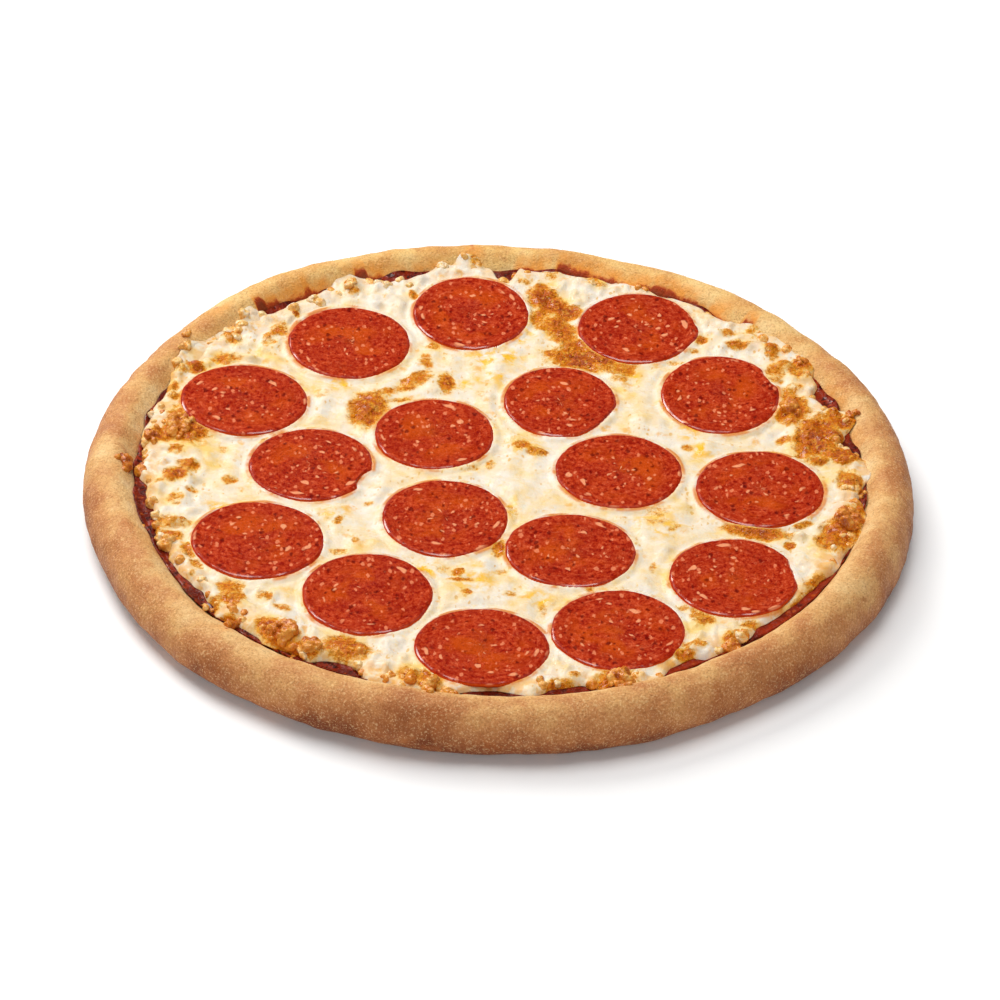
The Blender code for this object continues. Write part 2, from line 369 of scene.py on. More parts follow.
# %% Blotches
def blotch_group():
    inputs = {"Place": "Vector", "Size": 20.0, "Low": 0.45, "High": 0.6, "Detail": 3.0, "Seed": 0.0}
    tree, given, out = new_group("Blotches", "ShaderNodeTree", inputs, "Mask", "Float")
    shift = join(given["Seed"], given["Seed"], given["Seed"])
    place = vector_maths("ADD", given["Place"], shift)
    value = cloud(place, given["Size"], given["Detail"], 0.55, 0.3)
    feed(out, {"Mask": fit(value, given["Low"], given["High"])})
    return tree


# %% Flecks
def fleck_group():
    """Scattered specks. Share is how many cells hold one, and Stretch pulls them long."""
    inputs = {"Place": "Vector", "Size": 2.0, "Share": 0.3, "Radius": 0.35, "Soft": 0.15,
              "Stretch": (1.0, 1.0, 1.0), "Seed": 0.0}
    tree, given, out = new_group("Flecks", "ShaderNodeTree", inputs, "Mask", "Float")
    shift = join(given["Seed"], given["Seed"], given["Seed"])
    place = vector_maths("MULTIPLY", given["Place"], given["Stretch"])
    place = vector_maths("ADD", place, shift)
    bend = put(tree, "ShaderNodeTexNoise", {"Vector": place, "Scale": 1400.0 / given["Size"], "Detail": 1.0})[1]
    bend = vector_maths("SUBTRACT", bend, (0.5, 0.5, 0.5))
    bend = vector_maths("SCALE", bend, given["Size"] * 0.0007)
    place = vector_maths("ADD", place, bend)
    scale = 1000.0 / given["Size"]
    cells = put(tree, "ShaderNodeTexVoronoi", {"Vector": place, "Scale": scale, "Randomness": 1.0})
    pick = put(tree, "ShaderNodeSeparateColor", {0: cells["Color"]})
    held = maths("LESS_THAN", pick[0], given["Share"])
    reach = given["Radius"] * (0.55 + pick[1] * 0.6)
    inside = fit(reach - cells["Distance"], 0.0, given["Soft"])
    feed(out, {"Mask": held * inside})
    return tree


# %% Grain
def grain_group():
    """A height for Bump nodes: soft lumps with finer grain over them."""
    inputs = {"Place": "Vector", "Size": 1.0, "Fine size": 0.4, "Fine share": 0.5}
    tree, given, out = new_group("Grain", "ShaderNodeTree", inputs, "Height", "Float")
    soft = cloud(given["Place"], given["Size"], 2.0, 0.6)
    fine = cloud(given["Place"], given["Fine size"], 1.0, 0.5)
    feed(out, {"Height": soft + fine * given["Fine share"]})
    return tree


blotches, flecks, grain = blotch_group(), fleck_group(), grain_group()
print("shared finishes:", [group.name for group in (blotches, flecks, grain)])


# %% A bare material
def new_material(name):
    """An empty material with its shader, and the place in millimetre-true Object coordinates."""
    material = bpy.data.materials.new(name)
    material.use_nodes = True
    tree = material.node_tree
    shader = tree.nodes["Principled BSDF"]
    place = put(tree, "ShaderNodeTexCoord")["Object"]
    return material, tree, shader, place


def blotch(place, size, low, high, seed=0.0, detail=3.0):
    inputs = {"Place": place, "Size": size, "Low": low, "High": high, "Seed": seed, "Detail": detail}
    return use_group(blotches, inputs)["Mask"]


def fleck(place, size, share, radius=0.35, soft=0.15, stretch=(1, 1, 1), seed=0.0):
    inputs = {"Place": place, "Size": size, "Share": share, "Radius": radius, "Soft": soft, "Stretch": stretch,
              "Seed": seed}
    return use_group(flecks, inputs)["Mask"]


def grainy(place, size, fine_size, fine_share):
    inputs = {"Place": place, "Size": size, "Fine size": fine_size, "Fine share": fine_share}
    return use_group(grain, inputs)["Height"]


def painted(tree, name):
    """A mask that the mesh carries in its points."""
    return put(tree, "ShaderNodeAttribute", attribute_name=name)["Fac"]


def bumped(height, strength, distance, normal=None):
    inputs = {"Height": height, "Strength": strength, "Distance": distance * MM}
    if normal is not None:
        inputs["Normal"] = normal
    return put(tree_of(height), "ShaderNodeBump", inputs)["Normal"]


# %% [markdown]
# ## Mesh helpers
# A turned layer is rings of points, closed at both ends by a flat face. The first ring is the top middle and the
# last the bottom middle, so the faces point outwards. A geometry tree is then used as a modifier, and its result
# kept as a plain mesh.

# %% Rings into a solid
def link(obj):
    bpy.context.scene.collection.objects.link(obj)
    return obj


def layered(name, rings, angle):
    """A closed mesh from rings of (radius, height) arrays in mm, top middle first."""
    steps, count = len(angle), len(rings)
    places = [np.stack([r * np.cos(angle), r * np.sin(angle), h + 0 * angle], 1) for r, h in rings]
    faces = []
    here = np.arange(steps)
    ahead = (here + 1) % steps
    for ring in range(count - 1):
        low, high = ring * steps, (ring + 1) * steps
        faces += np.stack([low + here, high + here, high + ahead, low + ahead], 1).tolist()
    faces.append(list(range(steps)))
    faces.append([(count - 1) * steps + i for i in reversed(range(steps))])
    mesh = bpy.data.meshes.new(name)
    mesh.from_pydata((np.concatenate(places) * MM).tolist(), [], faces)
    return link(bpy.data.objects.new(name, mesh))


def paint(obj, name, values):
    """Stores one number for each point, for the tree and the shader to read."""
    attribute = obj.data.attributes.new(name, "FLOAT", "POINT")
    attribute.data.foreach_set("value", np.asarray(values, np.float32))


def triangles(obj):
    obj.data.calc_loop_triangles()
    return len(obj.data.loop_triangles)


# %% Run a geometry tree and keep its result
def run_tree(obj, tree, inputs):
    """Uses a tree as a modifier, and keeps its result as the object's plain mesh."""
    modifier = obj.modifiers.new(tree.name, "NODES")
    modifier.node_group = tree
    for item in tree.interface.items_tree:
        if item.item_type == "SOCKET" and item.in_out == "INPUT" and item.name in inputs:
            modifier[item.identifier] = inputs[item.name]
    old = obj.data
    graph = bpy.context.evaluated_depsgraph_get()
    mesh = bpy.data.meshes.new_from_object(obj.evaluated_get(graph))
    obj.modifiers.remove(modifier)
    obj.data = mesh
    bpy.data.meshes.remove(old)
    mesh.name = obj.name
    return obj


def keep_in_box(obj):
    """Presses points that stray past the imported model's box back onto it."""
    flat = np.empty(len(obj.data.vertices) * 3, np.float32)
    obj.data.vertices.foreach_get("co", flat)
    points = flat.reshape(-1, 3)
    np.clip(points, np.array(cad_low) + 1e-6, np.array(cad_high) - 1e-6, out=points)
    obj.data.vertices.foreach_set("co", points.ravel())
    obj.data.update()


# %% [markdown]
# ## A tree that roughens a surface
# Baked dough, sauce and cheese all have soft lumps with finer ones on them. One geometry tree pushes each point
# along its normal by two noises. A mask painted on the points says how much each part may swell, so that what
# lies under a slice stays flat. All the geometry trees end alike, as real geometry with a finish on it, so one
# helper does that.

# %% What geometry trees share
def stored(tree, name):
    """A number that the mesh carries in its points."""
    return put(tree, "GeometryNodeInputNamedAttribute", {"Name": name}, data_type="FLOAT")["Attribute"]


def store(tree, geometry, name, value, data_type="FLOAT"):
    """Keeps a value in the points for the finish to read."""
    inputs = {"Geometry": geometry, "Name": name, "Value": value}
    return put(tree, "GeometryNodeStoreNamedAttribute", inputs, data_type=data_type, domain="POINT")[0]


def end_tree(tree, geometry, given, out, smooth=True):
    """Makes the result real geometry with the tree's own finish."""
    if smooth:
        geometry = put(tree, "GeometryNodeSetShadeSmooth", {"Geometry": geometry})[0]
    geometry = put(tree, "GeometryNodeRealizeInstances", {"Geometry": geometry})[0]
    inputs = {"Geometry": geometry, "Material": given["Finish"]}
    feed(out, {"Geometry": put(tree, "GeometryNodeSetMaterial", inputs)[0]})
    return tree


# %% Relief tree
def relief_tree():
    inputs = {"Geometry": "Geometry", "Lump size": 20.0, "Lump height": 0.5, "Fine size": 5.0,
              "Fine height": 0.15, "Bubble size": 3.0, "Bubble height": 0.0, "Finish": "Material"}
    tree, given, out = new_group("Relief", "GeometryNodeTree", inputs, "Geometry", "Geometry")
    place = put(tree, "GeometryNodeInputPosition")[0]
    free = stored(tree, "free")
    bubbly = stored(tree, "bubbly")
    lumps = cloud(place, given["Lump size"], 2.0) - 0.5
    fine = cloud(place, given["Fine size"], 2.0) - 0.5
    bubbles = cloud(place, given["Bubble size"], 2.0, 0.6) - 0.42
    push = lumps * given["Lump height"] + fine * given["Fine height"]
    push *= free
    swell = bubbles * given["Bubble height"] * bubbly
    push = (push + swell) * (MM * 2)
    normal = put(tree, "GeometryNodeInputNormal")[0]
    moved = put(tree, "GeometryNodeSetPosition",
                {"Geometry": given["Geometry"], "Offset": vector_maths("SCALE", normal, push)})
    return end_tree(tree, moved[0], given, out)


relief = relief_tree()
print("relief tree has", len(relief.nodes), "nodes")

# %% [markdown]
# ## The crust
# The rim is a turned profile, softly pinched and swollen by the oven. Baked dough is matt with a fine sandy grain,
# golden on top, paler on the inner face beside the sauce and browner low down outside, where the pan was hot; that
# darkening low down is partly painted shade. So the material runs through dough colours from pale to brown by
# height, by distance from the middle, by side and by blotches, with painted shade on the right and far left sides
# and painted light on the top of the crest.

# %% Dough finish
def dough_finish():
    material, tree, shader, place = new_material("baked dough")
    x, y, z = split(place)
    radius = from_middle(x, y)
    # Browner towards the bottom of the outer side: partly real browning from the hot pan, partly painted shade on
    # the lower side.
    low = fit(z, 0.0175, 0.002)
    inner = fit(radius, 0.1385, 0.131)
    stain = painted(tree, "stain")
    bake_and_painted_shade = painted(tree, "toasted") * 0.42 + low * 0.42
    bake_and_painted_shade += fit(cloud(place, 17.0, 5.0, 0.62), 0.2, 0.8, 0.22, 0.74)
    bake_and_painted_shade -= inner * 0.22
    bake_and_painted_shade += fit(radius, 0.1425, 0.1485) * 0.08
    # Painted shade: the right side, turned away from the key lamp, is painted browner.
    bake_and_painted_shade += fit(x, -0.1, 0.14) * 0.06
    # Painted light: the top of the crest is kept lighter in colour.
    bake_and_painted_shade -= fit(z, 0.0175, 0.0205) * 0.06
    # Painted shade on the far left, where the key lamp falls hardest, to tone down its light.
    bake_and_painted_shade += fit(x, -0.09, -0.13) * 0.06
    colour = ramp(bake_and_painted_shade * 0.8, (0.16, 238, 204, 152), (0.3, 232, 189, 128),
                  (0.44, 220, 165, 102), (0.6, 200, 134, 80), (0.78, 170, 101, 56), (0.96, 126, 62, 30))
    colour = blend(fit(y, 0.02, 0.14), colour, (1.0, 0.98, 0.78, 1.0), "MULTIPLY")
    spots = blotch(place, 9.0, 0.58, 0.74, 5.0) * 0.45
    colour = over(colour, spots, 178, 98, 46)
    colour = over(colour, blotch(place, 4.0, 0.5, 0.72, 41.0) * 0.3, 190, 124, 76)
    sand = cloud(place, 0.8, 2.0, 0.8)
    colour = blend(fit(sand, 0.48, 0.34, 0.0, 0.65), colour, blend(0.55, colour, tone(120, 62, 28)))
    colour = over(colour, fit(sand, 0.53, 0.68, 0.0, 0.45), 250, 216, 160)
    colour = over(colour, fleck(place, 2.6, 0.08, 0.2) * 0.5, 140, 74, 32)
    fray = (cloud(place, 3.2, 5.0, 0.75) - 0.5) * 4.6
    stain += fray
    glow = fit(stain, -5.5, 1.0) * fit(y, 0.03, 0.09, 0.35, 0.8)
    glow *= fit(radius, 0.1445, 0.137) * fit(z, 0.01, 0.016)
    glow *= fit(cloud(place, 6.0, 3.0), 0.35, 0.6, 0.35, 1.0)
    colour = over(colour, glow, 234, 146, 44)
    juice = ramp(fit(stain, 0.0, 5.0), (0.0, 206, 90, 28), (0.3, 160, 42, 10), (0.8, 112, 20, 4))
    colour = blend(fit(stain, 0.3, 1.9, 0.0, 0.92), colour, juice)
    rough = fit(cloud(place, 5.0, 2.0), 0.3, 0.7, 0.5, 0.68)
    height = grainy(place, 1.6, 0.7, 0.8)
    feed(shader.inputs, {"Base Color": colour, "Roughness": rough, "Specular IOR Level": 0.15,
                         "Normal": bumped(height, 1.0, 0.4)})
    return material


# %% Crust mesh
# Browner stretches along the rim: angle, half width in degrees, depth of colour.
TOASTED = ((168, 9, 0.5), (205, 14, 0.35), (236, 10, 0.3), (262, 16, 0.62), (283, 12, 0.42), (305, 14, 0.4),
           (325, 12, 0.22), (345, 14, 0.32), (5, 12, 0.35), (22, 10, 0.35), (150, 7, 0.2))


def crust_profile():
    """(radius, height) pairs from the floor, over the rim and under to the base."""
    slope = [FOOT_RADIUS + (CREST_RADIUS - FOOT_RADIUS) * share for share in np.linspace(0, 1, 26)[:-1]]
    profile = [(116.0, FLOOR), (122.0, FLOOR)] + [(radius, crust_top(radius)) for radius in slope]
    for turn in np.radians(np.linspace(90, 0, 34)):
        profile.append((CREST_RADIUS + RIM_HALF_WIDTH * math.cos(turn),
                        RIM_WAIST + (RIM_HEIGHT - RIM_WAIST) * math.sin(turn)))
    for turn in np.radians(np.linspace(0, -90, 20)[1:]):
        profile.append((CREST_RADIUS + RIM_HALF_WIDTH * math.cos(turn), RIM_WAIST * (1 + math.sin(turn))))
    return profile + [(radius, 0.0) for radius in (134, 124, 110, 90, 65, 40, 15)]


# Where sauce has boiled over onto the crust: angle, half width in degrees, and how far out it reaches in mm.
STAINS = ((133.6, 0.8, 138), (132, 1.8, 135), (129, 3.5, 134), (126, 3.5, 133.8), (122.5, 2, 133.2),
          (124.4, 0.7, 135), (114.4, 1.0, 137), (112.5, 2, 134), (109, 3.5, 132.3), (104, 4, 132.3),
          (86.5, 1.6, 134), (83.5, 1.2, 133.5), (80, 1.2, 136.5), (78, 2.2, 135.5), (74, 3.5, 134.5),
          (70, 2.5, 133.8), (65, 2.5, 134.8), (62.5, 2.2, 136), (58.5, 2.8, 135), (56, 1.6, 134),
          (51.5, 2, 133.5), (45.6, 1.0, 136.5), (22, 3, 133), (10.5, 2, 132), (300, 4, 132), (324, 12, 132),
          (241, 3, 132.5), (200, 6, 132), (228, 5, 132))
# Drips that have baked onto the crust: angle, radius, half width along and across in mm.
DRIPS = ((116.3, 144.5, 1.3, 3.4), (95.3, 142, 1.8, 5.0), (140, 143, 2.4, 1.6), (96.5, 147.5, 0.9, 1.2),
         (228.8, 137, 1.2, 1.0))
# Stains spread from this radius. The mask is so deep inside a drip, and at most so far below 0 outside, in mm.
STAIN_ROOT = 124
DRIP_DEPTH = 1.8
STAIN_FAR = 20


def stained_at(angle, radius):
    """How deep inside a sauce stain a point lies in mm, below 0 outside."""
    most = 0 * angle - STAIN_FAR
    for middle, half_width, reach in STAINS:
        near = ease(1.6 - turned(angle, middle) / half_width / 1.3)
        most = np.maximum(most, (reach - STAIN_ROOT) * near + STAIN_ROOT - radius)
    for middle, reach, along, across in DRIPS:
        away = lump_distance(angle, radius, middle, reach, along, across)
        most = np.maximum(most, DRIP_DEPTH * (1 - away))
    return np.maximum(most, -STAIN_FAR)


def make_crust():
    angle = np.linspace(0, math.tau, 900, endpoint=False)
    profile = crust_profile()
    rings = [knead(radius + 0 * angle, height + 0 * angle, angle) for radius, height in profile]
    obj = layered("baked_crust", rings, angle)
    free, toasted = [], []
    near = [depth * ease(1.6 - turned(angle, middle) / width) for middle, width, depth in TOASTED]
    for radius, height in profile:
        shown = ease((height - 0.2) / 2.5) * ease((radius - 126) / 4)
        free.append(0 * angle + shown)
        toasted.append(np.max(near, 0) * ease((radius - 134) / 7))
    paint(obj, "free", np.concatenate(free))
    paint(obj, "bubbly", np.zeros(len(obj.data.vertices)))
    paint(obj, "toasted", np.concatenate(toasted))
    paint(obj, "stain", np.concatenate([stained_at(angle, radius) for radius, height in profile]))
    finish = {"Lump size": 26.0, "Lump height": 1.1, "Fine size": 8.0, "Fine height": 0.55, "Finish": dough_finish()}
    run_tree(obj, relief, finish)
    keep_in_box(obj)
    return obj


crust = make_crust()
print("crust", triangles(crust), "triangles")

# %% [markdown]
# ## The sauce
# Tomato sauce shows only as a dark wet line between the cheese and the rim. It is a thin closed layer that runs
# under all the cheese and climbs the foot of the rim, with an edge that is never quite round.

# %% Sauce finish
def sauce_finish():
    material, _, shader, place = new_material("tomato sauce")
    x, y, z = split(place)
    colour = blend(blotch(place, 9.0, 0.4, 0.62, 2.0), tone(98, 22, 7), tone(140, 40, 12))
    colour = over(colour, blotch(place, 2.2, 0.5, 0.64, 7.0), 62, 10, 4)
    thin = blotch(place, 7.0, 0.42, 0.6, 12.0) * fit(x, 0.0, 0.06)
    thin *= fit(y, 0.0, -0.05)
    colour = over(colour, thin * 0.6, 158, 44, 12)
    colour = over(colour, fleck(place, 2.4, 0.45, 0.45, 0.3) * 0.6, 186, 84, 30)
    height = grainy(place, 2.2, 0.9, 0.5)
    feed(shader.inputs, {"Base Color": colour, "Roughness": fit(cloud(place, 2.5), 0.35, 0.65, 0.2, 0.4),
                         "Specular IOR Level": 0.1,
                         "Coat Weight": fit(cloud(place, 1.8, 2.0), 0.55, 0.65, 0.0, 0.6),
                         "Coat Roughness": 0.06, "Normal": bumped(height, 0.9, 0.6)})
    return material


# %% Sauce mesh
def make_sauce():
    angle = np.linspace(0, math.tau, 720, endpoint=False)
    edge = SAUCE_RADIUS + wave(angle, ((0.45, 13, 20), (0.35, 29, 140), (0.3, 53, 10)))
    shares = np.concatenate([[0.3, 0.6, 0.8], np.linspace(0.86, 1, 18)])
    top = [(share * edge, sauce_top(share * edge)) for share in shares]
    under = [(share * edge, crust_top(share * edge) + 0.02) for share in (1.0, 0.95, 0.6)]
    rings = [knead(radius, height, angle) for radius, height in top + under]
    obj = layered("tomato_sauce", rings, angle)
    free = [0 * angle + ease((share - 0.84) / 0.04) * ease((1.0 - share) / 0.012) for share in shares]
    free += [0 * angle] * 3
    paint(obj, "free", np.concatenate(free))
    paint(obj, "bubbly", np.zeros(len(obj.data.vertices)))
    finish = {"Lump size": 6.0, "Lump height": 0.7, "Fine size": 2.4, "Fine height": 0.4, "Finish": sauce_finish()}
    return run_tree(obj, relief, finish)


sauce = make_sauce()
print("sauce", triangles(sauce), "triangles")

# %% [markdown]
# ## Where the toppings lie
# The slices lie in loose rings, so each one is a row in a table: its middle and its two half widths. The cheese
# needs the same table, because it lies flat under a slice, welts up round its rind and swells between slices.

# %% The toppings' places
SLICES = (
    (-12.5, 99.0, 22.0, 24.0), (51.0, 92.0, 22.5, 23.0), (-58.0, 76.5, 23.0, 23.5), (81.5, 49.0, 22.0, 25.0),
    (-95.0, 36.5, 23.5, 22.5), (22.0, 42.0, 21.0, 23.0), (-24.0, 19.0, 22.0, 22.5), (-68.0, -2.5, 22.5, 22.5),
    (43.5, -1.0, 23.0, 23.0), (94.0, -10.0, 23.0, 23.5), (-18.5, -32.5, 22.5, 23.0), (-84.0, -49.5, 23.5, 23.0),
    (26.0, -49.5, 23.0, 21.5), (83.0, -63.5, 22.5, 23.0), (-44.0, -78.5, 22.5, 23.5), (42.5, -95.0, 23.0, 23.0),
    (-4.0, -106.5, 23.0, 22.0),
)
# Stretches where the cheese draws back and sauce shows: middle and half width in degrees, depth in mm. Below 0 the
# cheese climbs onto the crust.
SAUCE_SHOWS = (
    (166, 6, 2.8), (176, 5, 2.6), (184, 4, 2.8), (190, 3, 4.6), (196.5, 3.5, 6.2), (204, 3, 4.0), (212, 6, 4.0),
    (220, 3, 4.0), (230, 4, 5.0), (238, 3, 3.2), (246, 4, 5.2), (270, 5, 4.2), (281, 4, 4.6), (300, 3.5, 5.6),
    (313, 3, 2.4), (323, 8, 4.2), (336, 5, 3.0), (355, 3.5, 3.4), (7.5, 2.6, 3.2), (10.5, 2.5, 3.6),
    (22, 3, 5.5), (51, 3, 1.4), (62, 6, 1.3), (77, 6, 1.3), (90, 1.8, 8.5), (107.5, 5, 5.4), (127.5, 5.5, 3.2),
    (151.5, 3.5, -4.0), (156, 2.0, -1.5), (145, 2.5, -1.5), (136.5, 2.0, -2.5), (96, 2.0, -4.0),
    (117.5, 2.0, -2.0), (15.2, 2.6, -2.5), (31.5, 2.6, -2.5), (38, 2.5, -1.5),
)
# Nicks and flat spots in some rinds: slice, angle and half width in degrees, depth in mm.
NICKS = {8: (-22, 17, 2.6), 4: (28, 16, 1.6), 6: (-38, 40, 1.6), 14: (10, 22, 1.2), 2: (-8, 16, -1.2)}


def lean(x, y, half_x, half_y):
    """Height of a slice's middle above the flat cheese, and its slope towards the rim."""
    middle, half = math.hypot(x, y), (half_x + half_y) / 2
    inner, outer = dish(middle - half), dish(middle + half)
    return (inner + outer) / 2, (outer - inner) / (2 * half)


def near_slices(x, y):
    """Distance to the nearest rind in mm, below 0 under a slice, and that slice's underside height."""
    best, under = np.full(np.shape(x), 1e9), np.zeros(np.shape(x))
    for number, (cx, cy, half_x, half_y) in enumerate(SLICES, 1):
        away = (np.hypot((x - cx) / half_x, (y - cy) / half_y) - 1) * (half_x + half_y) / 2
        angle, width, depth = NICKS.get(number, (0, 10, 0))
        turn = np.cos(np.arctan2((y - cy) / half_y, (x - cx) / half_x) - math.radians(angle))
        away = away + depth * ease((turn - math.cos(math.radians(width))) / (1 - math.cos(math.radians(width))))
        rise, slope = lean(cx, cy, half_x, half_y)
        outward = ((x - cx) * cx + (y - cy) * cy) / math.hypot(cx, cy)
        level = CHEESE_LEVEL + GAP + rise + slope * outward
        under = np.where(away < best, level, under)
        best = np.minimum(best, away)
    return best, under


def cheese_edge(angle):
    edge = CHEESE_RADIUS + wave(angle, CHEESE_EDGE_WAVES)
    for middle, half_width, depth in SAUCE_SHOWS:
        edge = edge - depth * ease(1.5 - turned(angle, middle) / half_width)
    return edge


print(len(SLICES), "slices")

# %% [markdown]
# ## Browned places
# Cheese browns where it is thin, high or near the hot rim. These places are named in tables and painted on the
# cheese as soft masks, and the shader frays their edges with noise. A painted mask follows the mesh, so the relief
# tree can raise bubbles in just the same places.

# %% Browned patches
# Middle x and y, half width along and across in mm, turn in degrees, depth of colour.
BROWNED = (
    (-49, 34, 11, 6.5, 85, 0.75), (-44, 44, 5, 3, 40, 0.5), (-33, 53, 9, 4, 45, 0.55),
    (-20.5, 53, 6.5, 3, 95, 0.7), (-28.5, 67, 6, 2.6, 100, 0.4), (-26, 77, 3, 2, 0, 0.5),
    (-36, 41, 4, 2, 0, 0.45), (-8, 45, 4, 2.5, 90, 0.25), (-66, 43, 4, 3, 60, 0.25),
    (-84.5, 83.5, 4.5, 3.5, 90, 0.55), (-88, 75, 3, 2.5, 0, 0.4), (-102.5, 77.5, 6.5, 3, 110, 0.65),
    (-118, 74.5, 2.5, 2, 0, 0.5), (-104, 63, 6, 3, 15, 0.45), (-114.5, 56, 6, 3, -60, 0.65),
    (-122, 43, 3.5, 2, 90, 0.6), (-118, 37, 5, 3, 0, 0.5), (-114, 19, 11, 7.5, 100, 0.75),
    (-118, 29, 4, 3, 0, 0.5), (-125, 11.5, 5, 4, 0, 0.7), (-100, 6, 3, 3, 0, 0.3), (-117, 3, 3.5, 3, 0, 0.45),
    (-86, 12, 3, 1.5, 40, 0.4), (8, 14, 3.5, 3, 0, 0.5), (13.5, 10, 4, 2.5, 0, 0.5), (-3, 2, 3, 2, 90, 0.4),
    (-9, 1, 3, 3, 0, 0.3), (15, 116.5, 4, 3, 90, 0.6), (17, 108, 9, 6, -50, 0.8), (24, 103, 7, 4, -20, 0.8),
    (15, 97, 8, 5, -80, 0.55), (22, 90, 9, 5, -70, 0.75), (33, 72, 15, 7.5, -5, 0.8), (27, 79, 7, 4, 40, 0.7),
    (45, 66, 6, 5, 0, 0.55), (36, 122, 5, 4, 90, 0.4), (18.5, 126, 3, 2.5, 0, 0.4), (8, 121, 3, 2, 0, 0.35),
    (45, 59, 5, 2, 0, 0.3), (66, 71, 4, 1.5, 0, 0.35), (75, 86, 3.5, 2.5, 0, 0.55), (73, 79, 2, 1.5, 0, 0.45),
    (90, 83, 4.5, 2.8, 0, 0.6), (86, 90, 3, 2.5, 0, 0.4), (97, 91, 5, 2, 100, 0.35), (102, 79, 6, 3, 95, 0.55),
    (103, 64, 6, 4, 80, 0.5), (112, 65, 6, 5, 120, 0.5), (107.5, 40, 9, 5.5, 85, 0.8),
    (104, 22, 3, 2.5, 0, 0.5), (69, 16, 2.5, 2, 0, 0.45), (116, 22, 13, 8, 80, 0.8), (126, 12, 8, 5, 0, 0.75),
    (125, 34, 6, 4, 120, 0.7), (-112, -6, 4.5, 3.2, -20, 0.55), (-116, -12, 4.5, 3.5, 0, 0.65),
    (-109.5, -20, 2.5, 2.5, 0, 0.35), (-115, -26, 3, 3, 0, 0.5), (-96.5, -13, 3, 3, 0, 0.45),
    (-122, -17, 3, 2, 60, 0.45), (-118, -41, 5, 4.5, 0, 0.45), (-110.5, -41, 2.8, 2.3, 0, 0.45),
    (-115, -49, 4.5, 3, 0, 0.55), (-107, -57, 3, 5, 30, 0.55), (-104, -65, 3.5, 2, -40, 0.45),
    (-117.5, -59.5, 3.5, 2.5, 0, 0.6), (-90.5, -76, 4.5, 5, 0, 0.55), (-90, -84, 5, 4, 0, 0.6),
    (-96.5, -87, 4, 3.5, 0, 0.6), (-79, -81, 3, 3, 0, 0.4), (-72.5, -86.5, 3, 2.3, 0, 0.45),
    (-91, -97, 4, 4, 0, 0.7), (-74, -102, 9, 4.5, -60, 0.8), (-62, -110, 5, 4, 0, 0.75),
    (-50, -109, 8, 6, -20, 0.75), (-29, -123, 3.5, 3, 0, 0.5), (-21, -124, 4.5, 5, 0, 0.7),
    (-55, -53, 3.5, 2, 0, 0.45), (-13, -63, 2.2, 2.2, 0, 0.6), (-12, -67.5, 5, 1.6, 0, 0.5),
    (-10, -75, 2.2, 2.2, 0, 0.6), (-18, -62, 3, 2.5, 0, 0.3), (-56, -35, 3, 1.5, 60, 0.4),
    (-49.5, -47, 1.5, 1.5, 0, 0.4), (-46, -24, 2, 1.2, 0, 0.4), (1, -49, 4.5, 2.5, 90, 0.6),
    (5, -27, 5, 3.5, 90, 0.3), (2, -62, 3, 2, 0, 0.3), (5, -75, 2.5, 2, 0, 0.35), (57, -27, 8, 5, 90, 0.28),
    (63, -34, 4, 1.2, 40, 0.4), (92, -35, 11, 4, -12, 0.7), (103, -43, 2, 2, 0, 0.8),
    (108, -30.5, 4, 1.5, 20, 0.5), (121, -36, 11, 6.5, 60, 0.75), (126, -4, 6, 4.5, 90, 0.6),
    (72, -87, 5, 3.8, 110, 0.55), (66, -81, 3, 1.5, 0, 0.4), (82, -102, 5, 4, 90, 0.7),
    (68, -103, 3.5, 2, 30, 0.5), (65, -108, 4, 3, 0, 0.55), (42, -123, 7, 6, 0, 0.7), (23, -126, 5, 3, 0, 0.55),
    (88, -90, 4, 2, 30, 0.5), (55, -57, 4, 1.5, 90, 0.35), (33, -71.5, 2, 1.2, 0, 0.4),
    (43, -29, 4, 2, 20, 0.25), (112, -66, 6, 4, 60, 0.6), (104, -74, 5, 3, 50, 0.5), (17, -83, 4, 2, 80, 0.3),
    (107, 52, 3, 4, 0, 0.4), (-2, 26, 2.5, 2.5, 0, 0.25),
)
